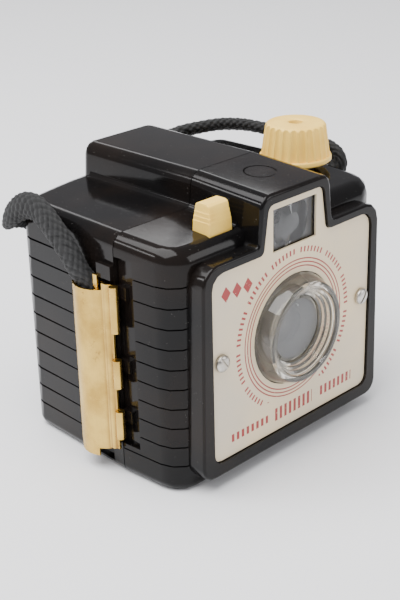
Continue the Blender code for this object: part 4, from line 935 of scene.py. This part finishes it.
@dataclass
class Strap:
    """Flat tubular neck strap, braided, with both ends tucked into the latches' gutters.

    The route's points and the directions its flat side faces at some of them are given.
    """

    width: float = 8.2
    thickness: float = 4.2
    strand: float = 2.6
    strands_round: int = 8
    relief: float = 0.62
    step: float = 0.42
    around: int = 52
    stretch_steps: int = 12
    squareness: float = 0.8
    route: tuple[Triple, ...] = (
        (-46.3, -1.2, 49.0), (-46.3, -1.2, 58.0), (-47.9, 0.8, 62.8), (-48.4, 4.2, 67.6),
        (-48.5, 8.6, 71.8), (-48.2, 13.2, 75.0), (-47.6, 18.2, 76.8), (-47.2, 23.4, 76.4),
        (-46.9, 28.0, 74.2), (-46.4, 32.2, 71.2), (-43.6, 37.2, 68.6), (-38.4, 41.0, 66.6),
        (-31.5, 43.0, 63.6), (-25.5, 44.0, 56.5), (-21.5, 44.6, 46.0), (-18.5, 45.4, 34.0),
        (-15.5, 46.8, 21.0), (-11.0, 49.5, 10.0), (-4.0, 54.5, 4.2), (6.0, 61.0, 2.5),
        (18.0, 65.0, 2.5), (29.5, 63.0, 2.5), (36.5, 56.0, 3.6), (37.5, 49.5, 9.5),
        (35.0, 46.2, 20.0), (32.0, 45.0, 33.0), (29.0, 44.4, 46.0), (26.0, 44.0, 58.0),
        (23.5, 43.2, 68.0), (23.0, 40.6, 75.5), (26.5, 36.6, 79.0), (33.5, 33.8, 79.8),
        (41.0, 30.6, 80.0), (46.8, 25.4, 79.6), (49.8, 18.8, 78.9), (52.0, 9.6, 78.0),
        (54.0, 0.0, 77.0), (55.4, -5.6, 75.6), (55.2, -9.4, 72.6), (53.4, -8.4, 69.2),
        (50.6, -4.4, 65.6), (47.7, -1.0, 63.2), (46.3, -1.1, 60.0), (46.3, -1.2, 55.0),
        (46.3, -1.2, 49.0),
    )
    facing: dict[int, Triple] = field(default_factory=lambda: {
        0: (-1, 0, 0), 7: (-1, 0, 0.15), 9: (-0.9, 0.4, 0.3), 11: (-0.3, 0.9, 0.3),
        14: (0, 1, 0.1), 17: (0, 0.8, 0.6), 19: (0, 0, 1), 21: (0, 0, 1), 23: (0.3, 0.9, 0.2),
        28: (0, 1, 0.1), 30: (0.1, 0.5, 0.85), 32: (0.29, 0.29, 0.91), 36: (0.35, 0.1, 0.93),
        38: (0.9, -0.3, 0.3), 41: (1, 0.2, 0), 44: (1, 0, 0)})

    def centre_line(self) -> tuple[np.ndarray, np.ndarray]:
        """Points and facing directions at an even spacing along a smooth curve.

        Returns:
            Two arrays of three columns: places in millimetres and unit normals.
        """
        knots = np.array(self.route)
        keys = sorted(self.facing)
        hints = np.array([np.interp(range(len(knots)), keys, [self.facing[k][i] for k in keys])
                          for i in range(3)]).T
        fine = self.smooth(np.hstack([knots, hints]))
        gone = np.r_[0, np.cumsum(np.linalg.norm(np.diff(fine[:, :3], axis=0), axis=1))]
        even = np.linspace(0, gone[-1], round(gone[-1] / self.step) + 1)
        table = np.array([np.interp(even, gone, fine[:, i]) for i in range(6)]).T
        return table[:, :3], table[:, 3:]

    def smooth(self, knots: np.ndarray) -> np.ndarray:
        """Catmull-Rom points through the knots, several to a stretch.

        Args:
            knots: Rows of places and facing directions.

        Returns:
            Many more rows of the same.
        """
        ends = np.vstack([2 * knots[0] - knots[1], knots, 2 * knots[-1] - knots[-2]])
        rows = []
        for a, b, c, d in zip(ends, ends[1:], ends[2:], ends[3:]):
            for k in range(self.stretch_steps):
                t = k / self.stretch_steps
                rows.append(0.5 * (2 * b + (c - a) * t + (2 * a - 5 * b + 4 * c - d) * t * t
                                   + (3 * b - a - 3 * c + d) * t ** 3))
        return np.array(rows + [knots[-1]])

    def weave(self, along: np.ndarray, around: np.ndarray) -> np.ndarray:
        """Height of the crossing strands.

        Args:
            along: Distance along the strap, in strands.
            around: Distance round it, in strands.

        Returns:
            Heights from 0 between strands to 1 on top of one.
        """
        first, second = along + around, along - around
        fa, fb = first % 1 - 0.5, second % 1 - 0.5
        over = (np.floor(first) + np.floor(second)) % 2 == 0
        across = np.where(over, fb, fa)
        length = np.where(over, fa, fb)
        dome = np.sqrt(np.clip(1 - (2.05 * across) ** 2, 0, 1))
        return dome * (0.45 + 0.55 * np.cos(math.pi * length))

    def build(self) -> None:
        middle, hint = self.centre_line()
        tangent = np.gradient(middle, axis=0)
        tangent /= np.linalg.norm(tangent, axis=1)[:, None]
        normal = hint - tangent * np.sum(hint * tangent, axis=1)[:, None]
        normal /= np.linalg.norm(normal, axis=1)[:, None]
        side = np.cross(tangent, normal)
        rings, count = len(middle), self.around
        turn = np.linspace(0, TURN, count, endpoint=False)
        u = np.arange(rings)[:, None] * self.step / self.strand
        v = turn[None, :] / TURN * self.strands_round
        height = self.weave(u, v)
        base_w, base_t = self.width / 2 - self.relief, self.thickness / 2 - self.relief
        cos, sin = np.cos(turn)[None, :], np.sin(turn)[None, :]
        power = self.squareness
        across = np.sign(cos) * np.abs(cos) ** power * (base_w + self.relief * height)
        out = np.sign(sin) * np.abs(sin) ** power * (base_t + self.relief * height)
        shape = (middle[:, None] + across[..., None] * side[:, None]
                 + out[..., None] * normal[:, None])
        verts = shape.reshape(-1, 3) * MM
        ring = np.arange(rings - 1)[:, None] * count
        step = np.arange(count)[None, :]
        after = (step + 1) % count
        quads = np.stack([ring + step, ring + after, ring + count + after, ring + count + step],
                         axis=-1).reshape(-1, 4)
        faces = quads.tolist() + [list(range(count))[::-1],
                                  list(range((rings - 1) * count, rings * count))]
        mesh = bpy.data.meshes.new("neck_strap_braid")
        mesh.from_pydata(verts.tolist(), [], faces)
        # The weave height is also kept on the mesh, where the braid's material paints shade
        # between the strands.
        weave_shade = mesh.attributes.new("strand", "FLOAT", "POINT")
        weave_shade.data.foreach_set("value", height.reshape(-1).astype(np.float32))
        self.map_uv(mesh, count)
        strap = bpy.data.objects.new("neck_strap_braid", mesh)
        bpy.context.scene.collection.objects.link(strap)
        edit_all(strap)
        bpy.ops.mesh.normals_make_consistent(inside=False)
        bpy.ops.object.mode_set(mode="OBJECT")
        bpy.ops.object.shade_smooth()
        dress(strap, Finishes.YARN)
        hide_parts("neck_strap")
        place_piece(strap, "back")

    def map_uv(self, mesh: bpy.types.Mesh, count: int) -> None:
        """Unrolls the tube: U along it and V round it, in strands.

        Args:
            mesh: The tube.
            count: Its corners round one ring.
        """
        layer = mesh.uv_layers.new(name="braid")
        index = np.empty(len(mesh.loops), dtype=np.int32)
        mesh.loops.foreach_get("vertex_index", index)
        u = (index // count) * self.step / self.strand
        v = (index % count) / count * self.strands_round
        layer.data.foreach_set("uv", np.stack([u, v], axis=1).reshape(-1).astype(np.float32))


@dataclass
class Shells:
    """The two moulded halves of the body."""

    edge: float = 0.12
    grooves: int = 10
    groove_top: float = 64.2
    groove_pitch: float = 6.15
    groove_height: float = 0.8
    line_height: float = 0.42
    foot_bevel: float = 0.22
    sharp_angle: float = 34.0
    slack: float = 0.01
    level_slack: float = 0.001

    def narrow_grooves(self, shell: Piece) -> None:
        """Lowers the roof of each groove to leave a fine line and rounds the groove's foot.

        Args:
            shell: The shell's finer copy.
        """
        roofs = [self.groove_top - k * self.groove_pitch + self.groove_height / 2
                 for k in range(self.grooves)]
        feet = [roof - self.groove_height for roof in roofs]

        def near(z: float, levels: Sequence[float]) -> bool:
            """Tells whether a height in metres is one of the levels."""
            return any(abs(z / MM - level) < self.slack for level in levels)

        edit_all(shell)
        pick(shell, "VERT", lambda vertex: near(vertex.co.z, roofs))
        drop = (self.groove_height - self.line_height) * MM
        bpy.ops.transform.translate(value=(0, 0, -drop))
        pick(shell, "EDGE", lambda edge: edge.is_convex and near(edge.verts[0].co.z, feet)
             and abs(edge.verts[1].co.z - edge.verts[0].co.z) < self.level_slack * MM)
        bpy.ops.mesh.bevel(offset=self.foot_bevel * MM, segments=2, affect="EDGES",
                           clamp_overlap=True)
        bpy.ops.object.mode_set(mode="OBJECT")

    def build(self) -> None:
        """Makes both halves and everything moulded with them."""
        for node, body in (("front_shell", "camera_front"), ("rear_shell", "back")):
            shell = refined_copy(node, f"{node}_moulding", self.edge, self.sharp_angle,
                                 reshape=self.narrow_grooves)
            place_piece(dress(shell, Finishes.BLACK), body)


@dataclass
class FacePlate:
    """Enamelled plate with its two screws."""

    def build(self) -> None:
        """Dresses the plate and the screws."""
        plate = refined_copy("face_plate", "face_plate_enamel", 0.12)
        place_piece(dress(plate, Finishes.PLATE), "camera_front")
        for side in ("left", "right"):
            screw = refined_copy(f"face_screw_{side}", f"face_screw_{side}_head", 0.08)
            place_piece(dress(screw, Finishes.NICKEL), "camera_front")


@dataclass
class LensRing:
    """Clear moulded ring with steps down to a hazed window."""

    plate_y: float = -38.0
    base_r: float = 17.0
    front_r: float = 15.4
    proud: float = 5.3
    flange_r: float = 18.6
    flange_back: float = -1.9
    lip_r: float = 1.0
    throat_r: float = 13.0
    window_r: float = 9.4
    dome_height: float = 0.55
    steps: int = 4
    step_depth: float = 1.15
    step_edge: float = 0.12

    def face(self) -> list[tuple[float, float]]:
        """Profile of the stepped cone, from the window's rim outwards.

        Returns:
            Radii and heights.
        """
        run = []
        for k in reversed(range(self.steps)):
            radius = self.throat_r - k * (self.throat_r - self.window_r) / self.steps
            depth = self.proud - 0.7 - k * self.step_depth
            run += [(radius, depth - 1.0), (radius, depth - self.step_edge),
                    (radius + self.step_edge, depth)]
        return run

    def rim(self) -> list[tuple[float, float]]:
        """Profile of the rounded front lip and the tapered outside.

        Returns:
            Radii and heights.
        """
        arc = [(self.front_r - self.lip_r * (1 - math.sin(a)),
                self.proud - self.lip_r * (1 - math.cos(a)))
               for a in [math.radians(15 * k) for k in range(7)]]
        return [(self.throat_r + 0.5, self.proud)] + arc + [
            (self.base_r, 0.2), (self.base_r, -0.9), (self.flange_r, -0.9),
            (self.flange_r, self.flange_back)]

    def build(self) -> None:
        """Spins the ring with its window and dresses the lenses behind it."""
        under = [(15.6, self.flange_back), (14.4, self.proud - 1.6), (13.6, self.proud - 2.0),
                 (self.window_r + 0.6, -1.0), (0.0, -0.6)]
        dome = [(self.window_r * math.sin(a), 0.9 + self.dome_height * math.cos(a))
                for a in [math.radians(10 * k) for k in range(10)]]
        profile = [(0.0, dome[0][1])] + dome[1:] + self.face() + self.rim() + under
        ring = spin_profile("lens_window_ring", profile, (0, self.plate_y, LENS_Z), "FRONT")
        finish_surface(ring, 0.0, 24)
        dress(ring, Finishes.ACRYLIC)
        ring.data.materials.append(Finishes.HAZY.value.material())
        limit = (self.window_r - 0.2) * MM
        for face in ring.data.polygons:
            middle = face.center
            radius = math.hypot(middle.x, middle.z - LENS_Z * MM)
            if radius < limit and middle.y < (self.plate_y + 0.4) * MM:
                face.material_index = 1
        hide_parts("lens_window")
        place_piece(ring, "camera_front")
        dress_nodes(Finishes.GLASS, "taking_lens", "viewfinder_front_lens")
        dress_nodes(Finishes.INSIDE, "lens_cell")


@dataclass
class WindingKnob:
    """Fluted cream knob on the top."""

    axis: tuple[float, float] = (33.5, -9.3)
    foot_z: float = 77.9
    top_z: float = 89.9
    foot_r: float = 11.3
    top_r: float = 9.5
    flutes: int = 24
    flute_r: float = 1.3
    flute_top_r: float = 1.12
    steps_per_flute: int = 8

    def build(self) -> None:
        """Spins the body, cuts the flutes and dresses the rivet and the winding gear."""
        low, high, top = self.foot_z, self.top_z, self.top_r
        crown = [(top - 1.5 + 1.5 * math.sin(a), high - 1.35 + 1.2 * math.cos(a))
                 for a in [math.radians(15 * k) for k in range(7)]]
        bore = [(2.2, high - 1.9), (2.2, high - 0.3), (2.5, high - 0.05), (4.6, high)]
        skirt = [(self.foot_r - 0.55, low + 1.9), (self.foot_r - 0.1, low + 1.5),
                 (self.foot_r, low + 1.1), (self.foot_r, low + 0.35), (self.foot_r - 0.3, low)]
        hollow = [(8.4, low), (8.4, low + 1.0), (1.9, low + 1.0), (1.9, high - 1.9)]
        knob = spin_profile("winding_knob_fluted", bore + crown + skirt + hollow,
                            (*self.axis, 0), steps=self.flutes * self.steps_per_flute)
        cutters = []
        for k in range(self.flutes):
            angle = TURN * (k + 0.5) / self.flutes
            out = Vector((math.cos(angle), math.sin(angle), 0))
            start = Vector((*self.axis, low + 1.75)) + out * (self.foot_r + 0.08)
            end = Vector((*self.axis, high + 0.6)) + out * (top + 0.42)
            cutters.append(cylinder(f"flute_{k}", self.flute_r, start, end, 20,
                                    self.flute_top_r))
        only(*cutters)
        bpy.ops.object.join()
        combine(knob, [cutters[0]])
        finish_surface(knob, 0.1, 30)
        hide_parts("winding_knob")
        place_piece(dress(knob, Finishes.CREAM), "winder")
        dress_nodes(Finishes.BLACK_STEEL, "knob_rivet", "take_up_spool")
        dress_nodes(Finishes.NICKEL, "winding_key", "spool_pin_take_up",
                    "spool_pin_supply_lower", "spool_pin_supply_upper")
        dress_nodes(Finishes.SPRING, "knob_washer")


@dataclass
class Release:
    """Release button with its return spring, and the shutter behind the lens."""

    travel: float = 4.0

    def build(self) -> None:
        """Refines the button and its spring, and dresses the shutter."""
        button = refined_copy("release_button", "release_button_cap", 0.22, 20, 3)
        place_piece(dress(button, Finishes.CREAM), "release")
        spring = refined_copy("release_spring", "release_spring_coil", 0, 40)
        place_piece(dress(spring, Finishes.SPRING), "camera_front")
        corners = [vertex.co for vertex in spring.data.vertices]
        low, high = (end(corner.z for corner in corners) for end in (min, max))
        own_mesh(spring)
        dress_nodes(Finishes.SPRING, "shutter_spring")
        dress_nodes(Finishes.BLACK_STEEL, "shutter_plate", "shutter_blade", "shutter_lever")


@dataclass
class BackFittings:
    """Film chamber, eyepiece and red window."""

    def build(self) -> None:
        """Dresses what is seen from behind or with the back off."""
        chamber = refined_copy("film_chamber", "film_chamber_moulding", 0.15)
        place_piece(dress(chamber, Finishes.INSIDE), "camera_front")
        dress_nodes(Finishes.GLASS, "viewfinder_eyepiece")
        dress_nodes(Finishes.RED, "red_film_window")
        dress_nodes(Finishes.NICKEL, "chamber_screw_upper", "chamber_screw_lower")


@dataclass
class Latches:
    """The gilt sheet-metal latches on both sides."""

    tabs: tuple[tuple[float, float], ...] = ((46.9, 61.0), (29.5, 38.4), (13.0, 22.0))
    roll_at: tuple[float, float] = (46.85, -12.45)
    roll_r: float = 1.35
    inset: float = 0.05

    def add_rolls(self, latch: Piece) -> None:
        """Rolls the ends of the three tabs into round hooks.

        Args:
            latch: The latch's finer copy.
        """
        side = -1 if max(vertex.co.x for vertex in latch.data.vertices) < 0 else 1
        x, y = self.roll_at
        rolls = [cylinder("roll", self.roll_r, (side * x, y, low + self.inset),
                          (side * x, y, high - self.inset), 28)
                 for low, high in self.tabs]
        combine(latch, rolls, "UNION")

    def build(self) -> None:
        """Refines both latches."""
        for side in ("left", "right"):
            latch = refined_copy(f"latch_{side}", f"latch_{side}_sheet", 0.13, 25, 2,
                                 self.add_rolls)
            place_piece(dress(latch, Finishes.GILT), f"{side}_latch")


# ---- stage

@dataclass
class Studio:
    """Pale floor, soft lights and the camera."""

    viewpoint: Triple = (-0.2503, -0.2513, 0.1953)
    aim: Triple = (-0.0386, -0.0380, 0.0618)
    roll: float = -1.42
    focal_mm: float = 74.17
    air: Triple = (0.86, 0.86, 0.88)
    mirrored_air: Triple = (0.40, 0.40, 0.42)

    def build(self) -> None:
        """Sets the stage."""
        self.add_floor()
        self.add_light("key_box", (-0.30, 0.10, 0.95), (0, 0, 0.04), (1.1, 0.9), 24.0)
        self.add_light("back_strip", (0.55, 0.95, 0.75), (0, 0, 0.06), (0.9, 0.16), 1.6)
        self.add_light("left_strip", (-1.0, 0.75, 0.70), (0, 0, 0.04), (0.5, 0.16), 3.0)
        self.add_light("front_fill", (0.60, -0.95, 0.45), (0, -0.02, 0.04), (0.5, 0.5), 3.0)
        self.add_world()
        self.add_camera()

    def add_floor(self) -> None:
        """A wide pale floor that the camera stands on."""
        bpy.ops.mesh.primitive_plane_add(size=8.0, location=(0, 0, 0))
        floor = settle(bpy.context.object, "floor")
        paper = Finish("studio_paper", (0.80, 0.80, 0.815), 0.75, smudges=0.02, scratches=0.0,
                       wave=0.0)
        floor.data.materials.append(paper.material())

    def add_light(self, name: str, place: Triple, aim: Triple, size: tuple[float, float],
                  power: float) -> None:
        """Adds a soft box.

        Args:
            name: Its name.
            place: Its position, in metres.
            aim: The point that it faces.
            size: Its width and height, in metres.
            power: Its power in watts.
        """
        bpy.ops.object.light_add(type="AREA", location=place)
        lamp = bpy.context.object
        lamp.name = name
        lamp.data.shape = "RECTANGLE"
        lamp.data.size, lamp.data.size_y = size
        lamp.data.energy = power
        lamp.rotation_euler = (Vector(aim) - Vector(place)).to_track_quat("-Z", "Y").to_euler()

    def add_world(self) -> None:
        """Soft light from all round."""
        world = bpy.data.worlds.new("studio_air")
        world.use_nodes = True
        sheet = NodeSheet(world.node_tree)
        background = world.node_tree.nodes["Background"]
        mirrored = sheet.add("LightPath").outputs["Is Glossy Ray"]
        air = sheet.blend(mirrored, rgba(self.air), rgba(self.mirrored_air))
        sheet.feed(background, 0, air)
        bpy.context.scene.world = world

    def add_camera(self) -> None:
        """Puts the camera at its viewpoint with its slight roll."""
        back = (Vector(self.viewpoint) - Vector(self.aim)).normalized()
        right = Vector((0, 0, 1)).cross(back).normalized()
        up = back.cross(right)
        turn = math.radians(self.roll)
        right, up = (right * math.cos(turn) + up * math.sin(turn),
                     up * math.cos(turn) - right * math.sin(turn))
        lens = bpy.data.cameras.new("view_camera")
        lens.lens = self.focal_mm
        lens.sensor_width = 36.0
        lens.clip_start = 0.01
        eye = bpy.data.objects.new("view_camera", lens)
        bpy.context.scene.collection.objects.link(eye)
        eye.matrix_world = (Matrix.Translation(self.viewpoint)
                            @ Matrix((right, up, back)).transposed().to_4x4())
        bpy.context.scene.camera = eye


def main() -> None:
    """Builds the stage and every sub-assembly."""
    logging.basicConfig(level=logging.INFO)
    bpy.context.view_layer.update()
    for part in (Studio(), Strap(), Shells(), FacePlate(), LensRing(), WindingKnob(), Release(),
                 BackFittings(), Latches()):
        part.build()
        log.info("%s is done", type(part).__name__)


if __name__ == "__main__":
    main()
